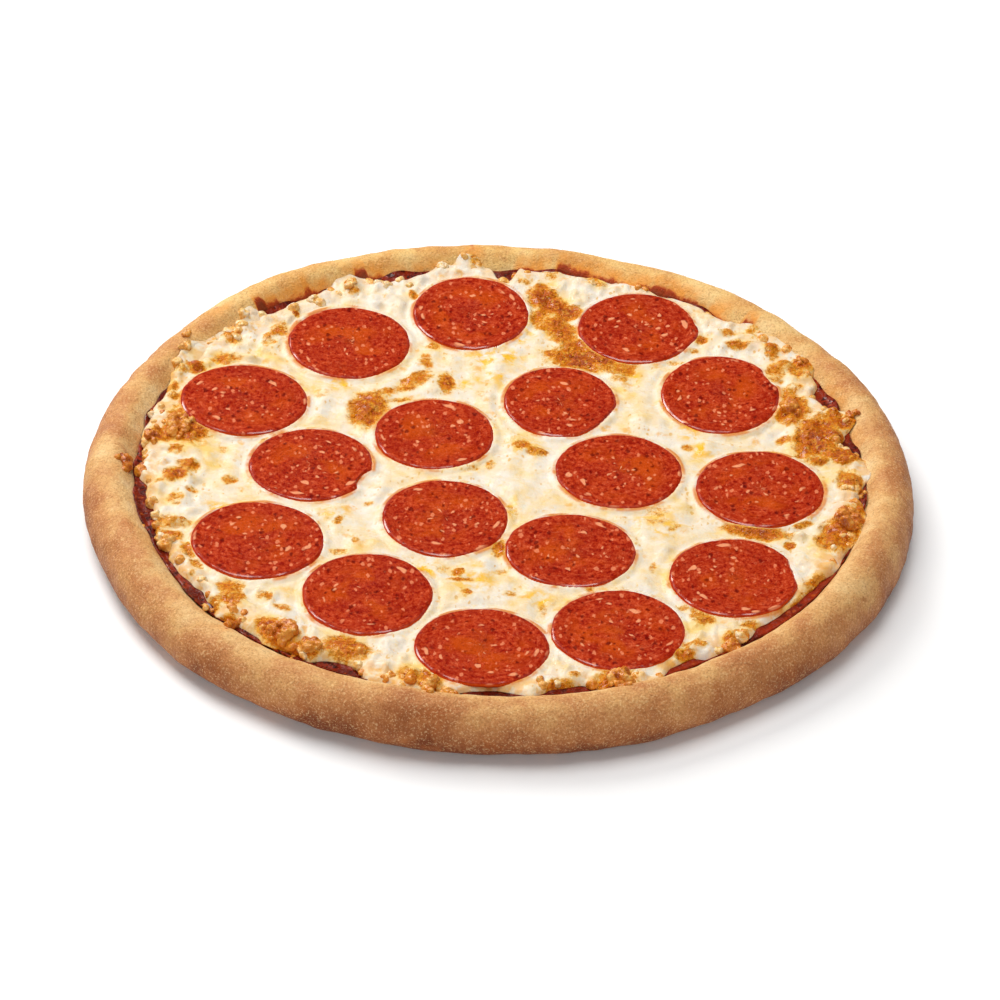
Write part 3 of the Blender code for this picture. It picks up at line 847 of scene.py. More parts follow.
# Lumps at the rim: angle and radius of the middle, half width along and across the rim, height, and how brown
# from 0 to 1.
CRAGS = (
    (184, 134, 4.6, 3.8, 3.0, 0.7), (175.3, 126.5, 2.8, 4.6, 2.6, 0.8), (171.5, 119, 8.0, 6.0, 2.2, 0.55),
    (186.5, 118.5, 3.6, 3.0, 1.2, 0.5), (182.5, 112.5, 3, 2.4, 1.0, 0.45), (178.5, 118, 3, 2.2, 1.0, 0.3),
    (161.5, 130.5, 3.2, 2.3, 1.8, 0.5), (162.5, 126.5, 1.8, 2.2, 1.4, 0.5), (156, 132.5, 3.4, 4.2, 2.0, 0.35),
    (153.5, 127.5, 2.3, 3.0, 2.0, 0.45), (148.5, 139, 2.6, 2.0, 1.8, 0.55), (151, 136, 4.0, 2.6, 2.0, 0.1),
    (143.5, 129, 2.1, 4.0, 2.0, 0.65), (146.5, 131, 3.0, 3.0, 1.6, 0.05), (149.5, 119.5, 2.8, 2.2, 1.4, 0.4),
    (137.8, 118.5, 4.0, 3.0, 1.4, 0.35), (135.2, 120.5, 2.0, 2.6, 1.4, 0.45), (130, 122.3, 1.3, 1.6, 1.1, 0.9),
    (124.3, 128, 1.8, 1.5, 1.2, 0.4), (117.3, 127, 3.3, 4.8, 2.0, 0.15), (117.6, 123.5, 2.6, 1.8, 1.6, 0.4),
    (116.3, 144, 1.2, 3.6, 0.9, 0.75), (107.5, 115.5, 2.0, 3.2, 1.1, 0.5), (95.3, 140, 2.2, 6.6, 1.5, 0.5),
    (94.3, 133, 2.2, 2.4, 2.0, 0.3), (81.5, 128, 4.6, 2.4, 1.5, 0.25), (74, 130, 4.6, 2.8, 1.5, 0.3),
    (86, 121, 1.9, 1.8, 1.0, 0.4), (66, 131, 3.0, 1.8, 1.3, 0.25), (52, 127.5, 4.6, 2.4, 1.5, 0.2),
    (44, 131, 1.8, 1.8, 1.4, 0.35), (42.8, 121, 2.8, 2.4, 1.4, 0.6), (46.5, 125, 2.8, 2.4, 1.3, 0.3),
    (38, 129, 3.0, 2.6, 1.8, 0.4), (31.5, 132.5, 4.6, 3.0, 2.0, 0.65), (28.5, 130, 3.8, 3.0, 2.0, 0.3),
    (33, 127, 3.0, 3.0, 1.6, 0.5), (27, 123, 4.0, 3.0, 1.4, 0.3), (21, 115, 5.6, 4.2, 2.2, 0.6),
    (24, 117.5, 3.6, 3.2, 1.9, 0.5), (15, 134, 3.4, 3.4, 2.0, 0.55), (11, 124, 4.6, 4.2, 1.6, 0.7),
    (13.5, 117, 3.6, 3.0, 1.4, 0.6), (3.5, 126, 2.4, 5.0, 1.8, 0.75), (4, 117, 2.2, 3.6, 1.5, 0.7),
    (8, 120.5, 4.4, 4.0, 1.6, 0.7), (-2, 126.5, 4.6, 3.6, 1.6, 0.3), (-13, 128, 8.0, 5.2, 2.2, 0.6),
    (-19, 125, 3.6, 2.6, 1.8, 0.55), (-9.5, 131.5, 2.8, 2.6, 1.8, 0.6), (-15.5, 133.5, 3.6, 1.8, 1.8, 0.4),
    (-30, 132, 3.0, 2.8, 2.0, 0.5), (-25.5, 130.5, 2.6, 2.0, 1.2, 0.1), (-51.5, 132, 2.8, 3.8, 2.6, 0.65),
    (-49, 127.5, 2.4, 2.3, 1.7, 0.5), (-55.5, 126, 2.4, 1.9, 1.4, 0.4), (-71, 131.5, 5.2, 6.0, 4.2, 0.6),
    (-66.5, 125.5, 2.8, 2.3, 1.9, 0.5), (-61, 127.5, 1.5, 2.4, 1.5, 0.0), (-50, 112, 2.0, 5.6, 1.2, 0.6),
    (-77.2, 124, 2.4, 1.9, 1.2, 0.4), (-81, 130, 2.3, 3.2, 1.9, 0.7), (-98.7, 131, 3.2, 6.6, 4.2, 0.45),
    (-95.5, 133, 2.4, 2.4, 2.3, 0.5), (-102.5, 127.5, 1.7, 3.2, 1.9, 0.4), (-119, 127, 3.8, 3.8, 3.2, 0.55),
    (-124.5, 125.5, 5.4, 6.0, 3.8, 0.6), (-121.5, 130.5, 2.6, 2.4, 2.6, 0.6), (-119, 134.5, 4.0, 1.1, 0.9, 0.95),
    (-128.8, 137, 1.3, 1.1, 1.2, 0.75), (-132.7, 132.5, 2.8, 3.8, 3.0, 0.75), (-138, 130.5, 4.2, 2.6, 2.4, 0.35),
    (-146, 126.5, 1.9, 1.4, 1.1, 0.4), (-153, 130.5, 1.8, 2.3, 1.8, 0.55), (-156, 127.5, 3.8, 3.8, 2.4, 0.3),
    (-160.5, 129, 4.6, 3.3, 2.4, 0.45), (-159.7, 118, 2.4, 1.9, 1.1, 0.5), (-171, 131, 2.8, 2.3, 1.8, 0.4),
    (-166.5, 118.5, 4.4, 2.6, 1.2, 0.4), (-138, 121, 6.6, 3.6, 1.2, 0.55), (-114, 120.5, 6.0, 4.4, 1.6, 0.65),
    (-134, 113, 2.4, 2.0, 1.0, 0.45), (-129, 113.5, 2.4, 2.0, 1.0, 0.45), (-63, 122.5, 2.4, 1.8, 1.2, 0.5),
    (6, 131, 2.8, 2.2, 2.3, 0.55), (15.3, 134.3, 3.0, 2.6, 2.4, 0.55), (151, 136, 3.4, 2.2, 2.2, 0.25),
    (148.5, 139.5, 2.4, 1.8, 2.2, 0.5), (32, 132.5, 3.4, 2.2, 2.4, 0.6), (189, 128.5, 3.0, 2.0, 2.2, 0.4),
    (204, 129.5, 3.2, 2.2, 2.4, 0.5), (-4, 131, 2.6, 1.8, 2.2, 0.5), (117.5, 127.5, 2.6, 3.2, 2.2, 0.3),
)
# Lumps at least this high are heaps of their own, and small beads of cheese line the whole edge.
HEAPED = 2.2
BEADS = 150
# Pools of yellow oil: middle x and y, half width in mm.
OIL_POOLS = ((-7, 70, 7), (3, 71, 6), (-6, 58, 5), (0, 57, 4), (-3, 78, 5), (14, 92, 8), (6, 84, 4),
             (36, 122, 6), (-14, 53, 4), (-60, 50, 5), (60, 42, 4), (70, 26, 6), (-24, -62, 6), (-8, -66, 9),
             (57, -32, 9), (6, -55, 5), (5, -25, 6), (15, -78, 6), (74, 14, 6), (-100, -30, 5), (-58, -30, 6),
             (-106, 62, 5), (10, 12, 7), (48, 62, 6))


def browned_at(x, y, angle, radius):
    """Depth of browning from 0 to 1."""
    most = np.zeros(np.shape(x))
    for cx, cy, along, across, turn, depth in BROWNED:
        c, s = math.cos(math.radians(turn)), math.sin(math.radians(turn))
        u, v = ((x - cx) * c + (y - cy) * s) / along, ((y - cy) * c - (x - cx) * s) / across
        most = np.maximum(most, depth * ease((1.7 - np.hypot(u, v)) / 1.3))
    for middle, reach, along, across, rise, toast in CRAGS:
        away = lump_distance(angle, radius, middle, reach, along, across)
        most = np.maximum(most, toast * ease((1.45 - away) / 0.9))
    return most


def lump_height(angle, radius):
    """How far the sheet itself swells towards the lumps at the rim. The highest lumps are heaped onto it later."""
    most = 0 * radius
    for middle, reach, along, across, rise, toast in CRAGS:
        share = 1.0 if rise < HEAPED else 0.5
        away = lump_distance(angle, radius, middle, reach, along, across)
        most = np.maximum(most, share * rise * ease((1.4 - away) / 1.1))
    return most


def oily_at(x, y):
    most = np.zeros(np.shape(x))
    for cx, cy, reach in OIL_POOLS:
        most = np.maximum(most, ease((1.6 - np.hypot(x - cx, y - cy) / reach) / 1.4))
    return most


print(len(BROWNED), "browned patches,", len(OIL_POOLS), "pools of oil")

# %% [markdown]
# ## The cheese
# A turned mesh would crowd its points in the middle and thin them out at the rim. Squeezing a square grid into a
# disc keeps every cell about the same size, so the welts round the slices come out even everywhere.

# %% Cheese finish
def cheese_finish():
    material, tree, shader, place = new_material("melted cheese")
    browned, oily, fringe = painted(tree, "bubbly"), painted(tree, "oily"), painted(tree, "fringe")
    x, y, z = split(place)
    radius = from_middle(x, y)
    colour = ramp(cloud(place, 14.0, 4.0, 0.6), (0.28, 228, 217, 200), (0.42, 232, 222, 205),
                  (0.54, 235, 216, 182), (0.7, 236, 200, 122))
    colour = over(colour, blotch(place, 6.0, 0.5, 0.68, 9.0) * 0.45, 239, 230, 214)
    colour = over(colour, blotch(place, 3.4, 0.56, 0.7, 19.0) * 0.4, 238, 200, 118)
    pale = fit(y, 0.06, 0.12, 0.0, 0.6) * blotch(place, 10.0, 0.36, 0.56, 25.0)
    colour = over(colour, pale, 226, 219, 208)
    oil = maths("MAXIMUM", oily, 0.15) * blotch(place, 5.0, 0.42, 0.62, 14.0)
    colour = over(colour, oil, 240, 184, 36)
    edge = fit(radius, 0.1185, 0.1285) * blotch(place, 4.5, 0.4, 0.58, 61.0)
    edge *= fit(y, 0.11, 0.03, 0.3, 0.7)
    colour = over(colour, edge, 232, 172, 88)
    rim_oil = fit(fringe, 0.1, 0.75) * blotch(place, 12.0, 0.44, 0.6, 21.0)
    colour = over(colour, rim_oil * 0.85, 212, 120, 16)
    grains = fleck(place, 1.5, 1.0, 0.6, 0.6, seed=5.0)
    frayed = (cloud(place, 5.0, 6.0, 0.8) - 0.5) * 1.5
    frayed = browned * 0.8 + frayed * fit(browned, 0.0, 0.35)
    burnt_with_grain_shade = ramp(frayed, (0.1, 244, 202, 88), (0.24, 238, 166, 36), (0.42, 216, 124, 4),
                 (0.64, 184, 82, 0), (0.9, 118, 34, 0))
    # Dark char specks in the grain's hollows and pale gold on its tops: partly real char, partly painted shade and
    # painted light, as the same noise raises the bump.
    grain_char_and_shade = cloud(place, 1.6, 3.0, 0.75)
    burnt_with_grain_shade = over(burnt_with_grain_shade, fit(grain_char_and_shade, 0.48, 0.34, 0.0, 0.55), 156, 68, 0)
    burnt_with_grain_shade = over(burnt_with_grain_shade, fit(grain_char_and_shade, 0.53, 0.7, 0.0, 0.6), 248, 190, 60)
    colour = over(colour, fit(browned, 0.0, 0.5, 0.0, 0.6), 244, 206, 116)
    colour = blend(fit(frayed, 0.12, 0.38), colour, burnt_with_grain_shade)
    patchy = blotch(place, 16.0, 0.42, 0.6, 3.0)
    specks = fleck(place, 1.7, 0.5, 0.42, 0.2, (1.0, 0.6, 1.0), 31.0)
    colour = over(colour, specks * patchy * 0.7, 214, 160, 62)
    drops = fleck(place, 7.0, 0.6, 0.36, 0.2, seed=57.0)
    drops *= fit(cloud(place, 2.5, 3.0, 0.7), 0.35, 0.6)
    colour = over(colour, drops * 0.7, 232, 168, 66)
    rough = fit(cloud(place, 6.0, 3.0), 0.3, 0.7, 0.22, 0.42)
    shine = maths("MAXIMUM", fit(frayed, 0.2, 0.5), maths("MAXIMUM", fringe, oil))
    wet = shine * fit(cloud(place, 2.0, 2.0), 0.54, 0.64)
    soft = grainy(place, 3.2, 1.0, 0.6)
    normal = bumped(soft, 0.45, 0.6)
    crumbly = grains + grain_char_and_shade - 0.9
    crumbly *= fit(frayed, 0.12, 0.5)
    feed(shader.inputs, {"Base Color": colour, "Roughness": rough * fit(oil, 0.0, 1.0, 1.0, 0.6),
                         "Specular IOR Level": 0.15, "Subsurface Weight": 0.12,
                         "Subsurface Radius": (1.0, 0.7, 0.4), "Subsurface Scale": 0.0015,
                         "Coat Weight": fit(wet, 0.0, 1.0, 0.01, 0.5), "Coat Roughness": 0.08,
                         "Normal": bumped(crumbly, 0.9, 0.7, normal)})
    return material


# %% Cheese mesh
CHEESE_CELLS = 300


def square_to_disc(cells):
    """Share of the radius, and angle, for each point of a square grid squeezed into a disc."""
    line = np.linspace(-1, 1, cells + 1)
    across, along = np.meshgrid(line, line, indexing="ij")
    wide = np.abs(across) > np.abs(along)
    share = np.where(wide, across, along)
    safe = np.where(share == 0, 1, share)
    turn = np.where(wide, math.pi / 4 * along / safe, math.pi / 2 - math.pi / 4 * across / safe)
    return np.abs(share).ravel(), np.where(share < 0, turn + math.pi, turn).ravel()


def grid_rim(cells):
    """Indices of the grid's outer points, anticlockwise."""
    n = cells + 1
    return ([i * n for i in range(cells)] + [cells * n + j for j in range(cells)]
            + [i * n + cells for i in range(cells, 0, -1)] + [j for j in range(cells, 0, -1)])


def cheese_surface(share, angle):
    """Radius, height and place of the sheet's upper face, before kneading."""
    radius = share * cheese_edge(angle)
    x, y = radius * np.cos(angle), radius * np.sin(angle)
    away, under = near_slices(x, y)
    low = np.maximum(sauce_top(np.minimum(radius, SAUCE_RADIUS)), crust_top(radius)) + 0.05
    swell = ease((away - 1) / 5) * (0.7 + 0.55 * ripple(x, y, 22, 5) + 0.45 * ripple(x, y, 9, 8))
    lumps = np.maximum(ripple(x, y, 10, 21), 0) + 0.8 * np.maximum(ripple(x, y, 6, 22), 0)
    lumps = np.maximum(lumps * ease((radius - 98) / 16), lump_height(angle, radius)) * ease((away - 0.6) / 3)
    high = CHEESE_LEVEL + dish(radius) + 0.55 + swell + lumps
    welt = under + SLICE_THICK - 0.5 + 0.3 * ripple(x, y, 15, 3)
    high = high + (welt - high) * ease((3.2 - away) / 2.8)
    high = under + 0.1 + (high - under - 0.1) * ease((away + 1.4) / 1.1)
    high = np.maximum(high, low + 0.9 + 0.3 * ease((radius - 132) / 3))
    rounding = np.sqrt(np.clip(1 - np.clip((share - 0.968) / 0.032, 0, 1) ** 2, 0, 1))
    return radius, low + 0.15 + (high - low - 0.15) * rounding, low, x, y, away


def make_cheese():
    share, angle = square_to_disc(CHEESE_CELLS)
    radius, height, low, x, y, away = cheese_surface(share, angle)
    rim = grid_rim(CHEESE_CELLS)
    rings = [(radius[rim] + 0.15, low[rim] + 0.05), (radius[rim] - 0.6, low[rim]),
             (0 * radius[rim] + 123.6, 14.4), (0 * radius[rim] + 120.5, 11.2)]
    rows = [knead(radius, height, angle)] + [knead(r, h + 0 * r, angle[rim]) for r, h in rings]
    turns = [angle] + [angle[rim]] * len(rings)
    places = np.concatenate([np.stack([r * np.cos(a), r * np.sin(a), h], 1) for (r, h), a in zip(rows, turns)])
    n = CHEESE_CELLS + 1
    corner = (np.arange(CHEESE_CELLS)[:, None] * n + np.arange(CHEESE_CELLS)[None]).ravel()
    faces = np.stack([corner, corner + n, corner + n + 1, corner + 1], 1).tolist()
    loops = [np.array(rim)] + [len(share) + k * len(rim) + np.arange(len(rim)) for k in range(len(rings))]
    for upper, lower in zip(loops, loops[1:]):
        faces += np.stack([upper, lower, np.roll(lower, -1), np.roll(upper, -1)], 1).tolist()
    faces.append(loops[-1][::-1].tolist())
    mesh = bpy.data.meshes.new("melted_cheese")
    mesh.from_pydata((places * MM).tolist(), [], faces)
    obj = link(bpy.data.objects.new("melted_cheese", mesh))
    masks = {"bubbly": browned_at(x, y, angle, radius) * ease((away + 0.5) / 1.5), "oily": oily_at(x, y),
             "free": ease(away / 2.5) * ease((1 - share) / 0.02), "fringe": ease((2.0 - away) / 1.9)}
    for name, values in masks.items():
        under = np.zeros((len(rings) - 2) * len(rim))
        paint(obj, name, np.concatenate([values, values[rim], values[rim], under]))
    finish = {"Lump size": 9.0, "Lump height": 0.4, "Fine size": 3.6, "Fine height": 0.28, "Bubble size": 3.0,
              "Bubble height": 1.2, "Finish": cheese_finish()}
    run_tree(obj, relief, finish)
    keep_in_box(obj)
    return obj


cheese = make_cheese()
print("cheese", triangles(cheese), "triangles")

# %% [markdown]
# ## The sausage slices
# Each slice is a thin disc with a wavy rind, a little dimpled by the heat. They differ only in numbers, so one
# geometry tree with named inputs makes them all, and the seed gives each its own waves. The share of the radius
# is kept on the points, since the finish is oilier in the middle and darker at the rind.

# %% Sausage finish
def sausage_finish():
    material, tree, shader, place = new_material("cured sausage")
    spot = put(tree, "ShaderNodeAttribute", attribute_name="spot")["Vector"]
    x, y, seed = split(spot)
    radius = from_middle(x, y)
    turn = maths("ARCTAN2", x, y) + radius * 30.0
    swirl = join(radius, turn * 0.014, seed)
    reach = painted(tree, "reach")
    colour = ramp(cloud(spot, 1.7, 5.0, 0.8), (0.3, 94, 1, 0), (0.42, 150, 22, 3),
                  (0.5, 176, 50, 16), (0.6, 194, 70, 36), (0.72, 224, 116, 78))
    colour = blend(blotch(place, 7.0, 0.4, 0.62, 8.0), colour, blend(0.35, colour, tone(136, 14, 6)))
    oil = fit(reach, 0.95, 0.4) * blotch(place, 15.0, 0.46, 0.64, 30.0)
    colour = over(colour, oil * 0.55, 204, 82, 10)
    streaks = cloud(vector_maths("MULTIPLY", swirl, (2.0, 0.8, 1.0)), 2.4, 5.0, 0.75)
    colour = over(colour, fit(streaks, 0.46, 0.3, 0.0, 0.6), 122, 6, 0)
    colour = over(colour, fit(streaks, 0.53, 0.7, 0.0, 0.55), 220, 108, 70)
    dark = fleck(spot, 2.2, 0.36, 0.5, 0.34, (1.0, 0.75, 1), 3.0)
    colour = over(colour, dark * 0.75, 92, 0, 0)
    small_fat = fleck(spot, 2.1, 0.24, 0.46, 0.2, (1.1, 0.7, 1), 23.0)
    colour = over(colour, small_fat * 0.65, 236, 140, 98)
    big_fat = fleck(swirl, 4.4, 0.3, 0.34, 0.16, (1.25, 0.8, 1), 47.0)
    colour = over(colour, big_fat * 0.78, 244, 164, 118)
    colour = over(colour, fit(reach, 0.955, 0.985, 0.0, 0.4), 168, 36, 6)
    colour = over(colour, fit(reach, 1.004, 1.03, 0.0, 0.85), 214, 78, 16)
    rough = fit(cloud(place, 5.0, 3.0), 0.3, 0.7, 0.3, 0.5)
    coat = fit(reach, 0.955, 0.985, 0.015, 0.9) * fit(reach, 1.002, 1.014, 1.0, 0.02)
    coat *= fit(cloud(place, 9.0, 2.0), 0.47, 0.6, 0.06, 1.0)
    height = grainy(swirl, 1.8, 0.8, 0.6)
    height += big_fat * 0.5
    feed(shader.inputs, {"Base Color": colour, "Roughness": rough * fit(oil, 0.0, 1.0, 1.0, 0.6),
                         "Specular IOR Level": 0.025, "Coat Weight": coat, "Coat Roughness": 0.05,
                         "Coat IOR": 1.8, "Normal": bumped(height, 0.6, 0.45)})
    return material


# %% Slice tree
def slice_tree():
    inputs = {"Geometry": "Geometry", "Half width X": 0.023, "Half width Y": 0.023, "Thickness": 0.0017,
              "Rind wobble": 0.0009, "Dimple": 0.0005, "Nick angle": 0.0, "Nick width": 0.2, "Nick depth": 0.0,
              "Seed": 0.0, "Place": "Vector", "Lean": "Rotation", "Finish": "Material"}
    tree, given, out = new_group("Sausage slice", "GeometryNodeTree", inputs, "Geometry", "Geometry")
    disc = put(tree, "GeometryNodeMeshCylinder", {"Vertices": 120, "Side Segments": 5, "Fill Segments": 20,
                                                  "Radius": 1.0, "Depth": 1.0}, fill_type="TRIANGLE_FAN")
    spot = put(tree, "GeometryNodeInputPosition")[0]
    x, y, z = split(spot)
    flat = join(x, y, 0.0)
    reach = vector_maths("LENGTH", flat)
    outward = vector_maths("NORMALIZE", flat)
    seeded = join(given["Seed"], 3.7, given["Seed"])
    slow = cloud(vector_maths("ADD", vector_maths("SCALE", outward, 1.1), seeded), 1000.0, 1.0)
    quick = cloud(vector_maths("ADD", vector_maths("SCALE", outward, 6.0), seeded), 1000.0, 2.0)
    uneven = (slow - 0.5) * 1.6 + (quick - 0.5) * 0.9
    uneven *= given["Rind wobble"]
    turn = maths("COSINE", maths("ARCTAN2", y, x) - given["Nick angle"])
    nick = fit(turn, maths("COSINE", given["Nick width"]), 1.0)
    uneven -= nick * given["Nick depth"]
    edge = maths("POWER", reach, 6.0)
    bevel = maths("POWER", maths("ABSOLUTE", z * 2.0), 2.0) * -0.0005 * maths("POWER", reach, 30.0)
    uneven = uneven * edge + bevel
    sized = vector_maths("MULTIPLY", flat, join(given["Half width X"], given["Half width Y"], 0.0))
    sized = vector_maths("ADD", sized, vector_maths("SCALE", outward, uneven))
    bumps = cloud(vector_maths("ADD", sized, seeded), 9.0, 3.0, 0.6) - 0.5
    bumps *= given["Dimple"]
    lip = fit(reach, 0.85, 0.96) * 0.0002
    drop = fit(reach, 0.975, 1.0) * -0.00035
    upper = fit(z, 0.1, 0.5)
    rise = (bumps + lip + drop) * upper
    level = (z + 0.5) * given["Thickness"] + rise
    lift = join(0.0, 0.0, level)
    down = reach + (0.5 - z) * 0.1
    shaped = store(tree, disc["Mesh"], "reach", down)
    own = vector_maths("ADD", sized, join(0.0, 0.0, given["Seed"]))
    shaped = store(tree, shaped, "spot", own, "FLOAT_VECTOR")
    shaped = put(tree, "GeometryNodeSetPosition", {"Geometry": shaped,
                                                   "Position": vector_maths("ADD", sized, lift)})
    laid = put(tree, "GeometryNodeTransform", {"Geometry": shaped[0], "Translation": given["Place"],
                                               "Rotation": given["Lean"]})
    return end_tree(tree, laid[0], given, out)


# %% Lay the slices
def make_slices():
    tree, finish = slice_tree(), sausage_finish()
    made = []
    for number, (x, y, half_x, half_y) in enumerate(SLICES, 1):
        mesh = bpy.data.meshes.new(f"sausage_slice_{number:02d}")
        obj = link(bpy.data.objects.new(mesh.name, mesh))
        rise, slope = lean(x, y, half_x, half_y)
        middle = Vector((x, y, 0)).normalized()
        leaning = Matrix.Rotation(math.atan(slope), 3, Vector((middle.y, -middle.x, 0))).to_euler()
        angle, width, depth = NICKS.get(number, (0, 10, 0))
        place = (x * MM, y * MM, (CHEESE_LEVEL + GAP + rise) * MM)
        run_tree(obj, tree, {
            "Half width X": half_x * MM, "Half width Y": half_y * MM, "Thickness": SLICE_THICK * MM,
            "Nick angle": math.radians(angle), "Nick width": math.radians(width), "Nick depth": depth * MM,
            "Seed": number * 5.3, "Place": place, "Lean": leaning, "Finish": finish})
        made.append(obj)
    return made


slices = make_slices()
print(len(slices), "slices of", triangles(slices[0]), "triangles")

# %% [markdown]
# ## Crusty lumps at the rim
# Near the hot rim the cheese puffs up and browns into knobbly clusters. A cluster is a handful of small balls that
# melt into each other, which is just what a volume does: the tree turns points with a radius into a volume, then
# back into one skin, and roughens that. The finish paints shade into the hollows between the knobs.

# %% Browned lump finish
def crag_finish():
    material, tree, shader, place = new_material("browned cheese")
    toast = painted(tree, "toast") * 0.75 + 0.1
    toast += cloud(place, 3.6, 4.0, 0.65) - 0.5
    # Painted shade: the hollows between the knobs are browned darker and their tops paler, by the knob height that
    # the tree keeps.
    toast += (0.5 - painted(tree, "knob")) * 0.7
    colour = ramp(toast, (0.08, 240, 214, 174), (0.22, 240, 192, 114), (0.42, 228, 152, 54),
                  (0.6, 208, 118, 24), (0.8, 170, 78, 8), (0.98, 122, 46, 2))
    colour = over(colour, fleck(place, 1.4, 0.3, 0.35, 0.3) * 0.4, 244, 204, 122)
    height = grainy(place, 1.5, 0.7, 0.5)
    feed(shader.inputs, {"Base Color": colour, "Roughness": fit(cloud(place, 2.0), 0.35, 0.65, 0.2, 0.4),
                         "Specular IOR Level": 0.25, "Coat Weight": 0.35, "Coat Roughness": 0.05,
                         "Subsurface Weight": 0.15, "Subsurface Radius": (1.0, 0.5, 0.2),
                         "Subsurface Scale": 0.0015, "Normal": bumped(height, 0.8, 0.7)})
    return material


# %% Lump tree
def crag_tree():
    inputs = {"Geometry": "Geometry", "Cell": 0.00042, "Knob size": 3.0, "Knob height": 0.0011,
              "Fine size": 1.3, "Fine height": 0.0004, "Finish": "Material"}
    tree, given, out = new_group("Crusty lumps", "GeometryNodeTree", inputs, "Geometry", "Geometry")
    size = stored(tree, "size")
    toast = stored(tree, "toast")
    points = put(tree, "GeometryNodeMeshToPoints", {"Mesh": given["Geometry"], "Radius": size})
    cloudy = put(tree, "GeometryNodePointsToVolume", {"Points": points[0], "Voxel Size": given["Cell"],
                                                      "Radius": size}, resolution_mode="VOXEL_SIZE")
    skin = put(tree, "GeometryNodeVolumeToMesh", {"Volume": cloudy[0], "Threshold": 0.1}, resolution_mode="GRID")
    nearest = put(tree, "GeometryNodeSampleNearest", {"Geometry": points[0]}, domain="POINT")[0]
    taken = put(tree, "GeometryNodeSampleIndex", {"Geometry": points[0], "Value": toast, "Index": nearest},
                data_type="FLOAT", domain="POINT")[0]
    kept = store(tree, skin[0], "toast", taken)
    place = put(tree, "GeometryNodeInputPosition")[0]
    knobs = cloud(place, given["Knob size"], 2.0, 0.6)
    # The knob height is kept for the finish, which paints shade into the hollows between the knobs.
    kept = store(tree, kept, "knob", knobs)
    fine = cloud(place, given["Fine size"], 1.0) - 0.5
    push = (knobs - 0.48) * given["Knob height"] + fine * given["Fine height"]
    push = vector_maths("SCALE", put(tree, "GeometryNodeInputNormal")[0], push * 2.0)
    rough = put(tree, "GeometryNodeSetPosition", {"Geometry": kept, "Offset": push})
    return end_tree(tree, rough[0], given, out)


# %% Place the lumps
def carried_height(x, y):
    """Height of the crust or the cheese under a point near the rim."""
    radius, angle = math.hypot(x, y), math.atan2(y, x)
    edge = cheese_edge(angle)
    cheese_top = cheese_surface(min(radius / edge, 1), angle)[1] if radius < edge else 0
    beyond = min(max((radius - CREST_RADIUS) / RIM_HALF_WIDTH, 0), 1)
    outer = RIM_WAIST + (RIM_HEIGHT - RIM_WAIST) * math.sqrt(1 - beyond ** 2)
    crest = outer if radius > CREST_RADIUS else crust_top(radius)
    return float(knead(radius, max(float(cheese_top), float(crest)), angle)[1])


def make_crags():
    source = random.Random(11)
    balls = []
    for angle, radius, along, across, rise, toast in CRAGS:
        if rise < HEAPED:
            continue
        out_x, out_y = math.cos(math.radians(angle)), math.sin(math.radians(angle))
        for count in range(int(6 + along * across * 0.3)):
            small = count % 2
            swing, reach = source.uniform(0, math.tau), math.sqrt(source.random()) * (0.95 if small else 0.6)
            u, v = math.cos(swing) * reach * along, math.sin(swing) * reach * across
            x, y = (radius + v) * out_x - out_y * u, (radius + v) * out_y + out_x * u
            if small:
                size = source.uniform(0.8, 1.2)
            else:
                size = min(2.2, 0.55 * min(along, across)) * source.uniform(0.8, 1.1)
            heap = (1 - reach ** 2) * max(0.5 * rise - 0.9 * size, 0) * source.uniform(0.6, 1)
            level = carried_height(x, y) + size * 0.1 + heap
            balls.append((x, y, level, size, toast + source.uniform(-0.15, 0.15)))
    for _ in range(BEADS):
        angle, size = source.uniform(0, math.tau), 1.2 + 1.5 * source.random() ** 1.5
        radius = float(cheese_edge(angle)) - 0.6 - 6 * source.random() ** 2
        x, y = radius * math.cos(angle), radius * math.sin(angle)
        smooth = 45 < math.degrees(angle) < 85 and source.random() < 0.7
        if near_slices(x, y)[0] > size + 0.3 and not smooth:
            toast = source.uniform(0.1, 0.6) * (0.5 if 90 < math.degrees(angle) < 150 else 1)
            balls.append((x, y, carried_height(x, y) - size * 0.5, size, toast))
    mesh = bpy.data.meshes.new("browned_lumps")
    mesh.from_pydata([(x * MM, y * MM, z * MM) for x, y, z, size, toast in balls], [], [])
    obj = link(bpy.data.objects.new("browned_lumps", mesh))
    paint(obj, "size", [ball[3] * MM for ball in balls])
    paint(obj, "toast", [ball[4] for ball in balls])
    return run_tree(obj, crag_tree(), {"Finish": crag_finish()})


crags = make_crags()
keep_in_box(crags)
print("browned lumps", triangles(crags), "triangles")

# %% [markdown]
# ## Meal on the crust
# Pizza dough is stretched on coarse meal, and pale grains of it stay baked on the rim. They are scattered over
# the crust's own faces by a geometry tree, as real grains with a few faces each.

# %% Meal grains
def meal_finish():
    material, _, shader, place = new_material("toasted meal")
    colour = blend(blotch(place, 3.0, 0.35, 0.65, 1.0), tone(228, 182, 124), tone(208, 152, 96))
    feed(shader.inputs, {"Base Color": colour, "Roughness": fit(cloud(place, 1.0), 0.3, 0.7, 0.3, 0.6)})
    return material


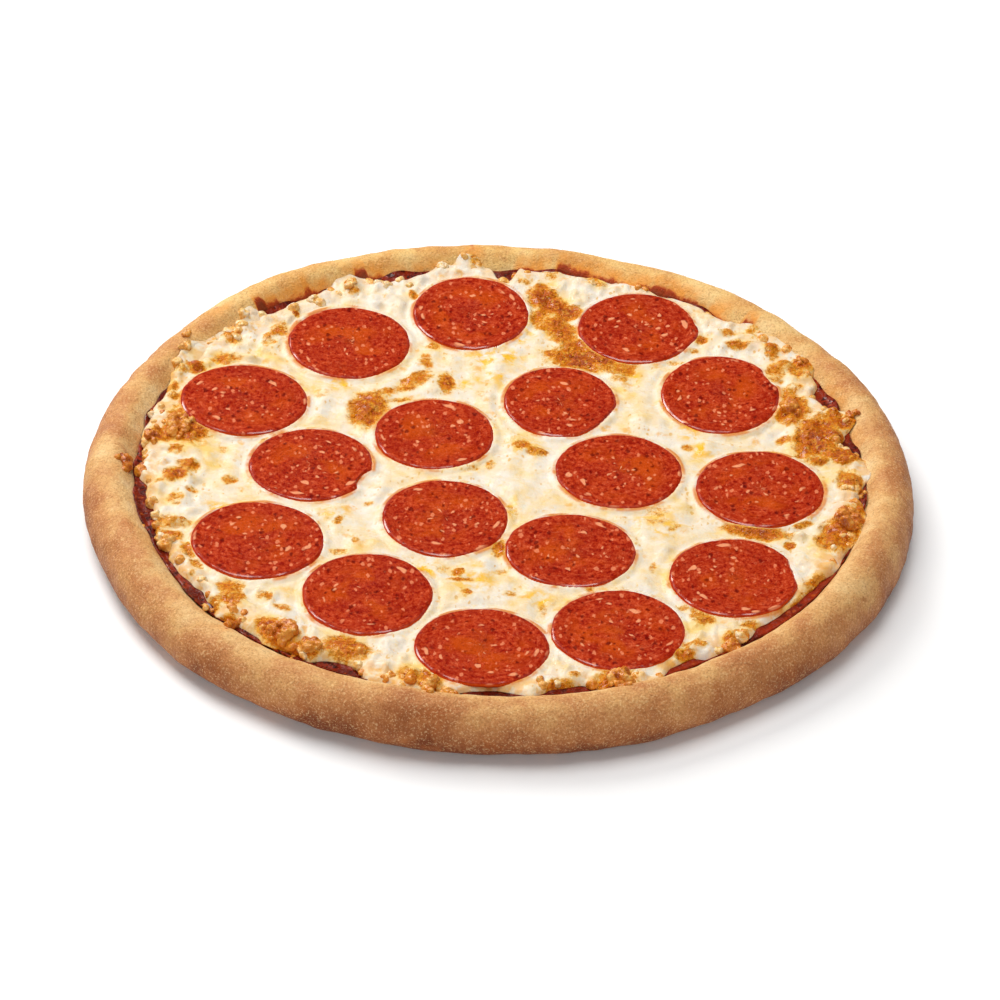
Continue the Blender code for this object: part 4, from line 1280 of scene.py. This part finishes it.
def scatter_tree():
    inputs = {"Geometry": "Geometry", "Grains": 200000.0, "Grain size": 0.00017, "Lowest": 0.002, "Seed": 4,
              "Finish": "Material"}
    tree, given, out = new_group("Scattered meal", "GeometryNodeTree", inputs, "Geometry", "Geometry")
    place = put(tree, "GeometryNodeInputPosition")[0]
    x, y, z = split(place)
    radius = from_middle(x, y)
    shown = fit(z, given["Lowest"], 0.006) * fit(radius, 0.133, 0.139)
    patchy = fit(cloud(place, 30.0, 2.0), 0.35, 0.65, 0.25, 1.0)
    density = shown * patchy * given["Grains"]
    points = put(tree, "GeometryNodeDistributePointsOnFaces", {"Mesh": given["Geometry"], "Density": density,
                                                               "Seed": given["Seed"]})
    ball = put(tree, "GeometryNodeMeshIcoSphere", {"Radius": given["Grain size"], "Subdivisions": 1})
    size, spin = [put(tree, "FunctionNodeRandomValue", {"Min": least, "Max": most, "Seed": seed},
                      data_type="FLOAT_VECTOR")[0]
                  for least, most, seed in (((0.6, 0.6, 0.5), (1.4, 1.1, 1.0), 5),
                                            ((0.0, 0.0, 0.0), (6.28, 6.28, 6.28), 9))]
    laid = put(tree, "GeometryNodeInstanceOnPoints", {"Points": points[0], "Instance": ball[0],
                                                      "Scale": size, "Rotation": spin})
    return end_tree(tree, laid[0], given, out, smooth=False)


def make_meal():
    obj = link(bpy.data.objects.new("crust_meal", crust.data.copy()))
    run_tree(obj, scatter_tree(), {"Finish": meal_finish()})
    keep_in_box(obj)
    return obj


meal = make_meal()
print("meal", triangles(meal), "triangles")

# %% [markdown]
# ## Floor
# The pizza lies on a pale sweep that runs out of sight, so that only its soft shadow shows.

# %% Floor
def make_floor():
    mesh = bpy.data.meshes.new("floor")
    mesh.from_pydata([(-3, -3, 0), (3, -3, 0), (3, 5, 0), (-3, 5, 0)], [], [(0, 1, 2, 3)])
    floor = link(bpy.data.objects.new("floor", mesh))
    material, _, shader, place = new_material("pale floor")
    colour = blend(blotch(place, 90.0, 0.3, 0.7), tone(252, 252, 252), tone(250, 250, 250))
    feed(shader.inputs, {"Base Color": colour, "Roughness": 0.9, "Emission Color": (1, 1, 1, 1),
                         "Emission Strength": 0.045})
    mesh.materials.append(material)
    return floor


make_floor()

# %% [markdown]
# ## Bind the pieces to the model
# Every piece rides on the model's one body and stands for the plain solid that it replaces.

# %% Bind
def bind(piece, slot, *nodes):
    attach(piece, "root")
    if nodes:
        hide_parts(*nodes)


bind(crust, "crust", "crust")
bind(meal, "crust")
bind(sauce, "sauce", "sauce")
bind(cheese, "cheese", "cheese")
bind(crags, "cheese")
for number, piece in enumerate(slices, 1):
    bind(piece, "pepperoni", f"pepperoni_{number:02d}")
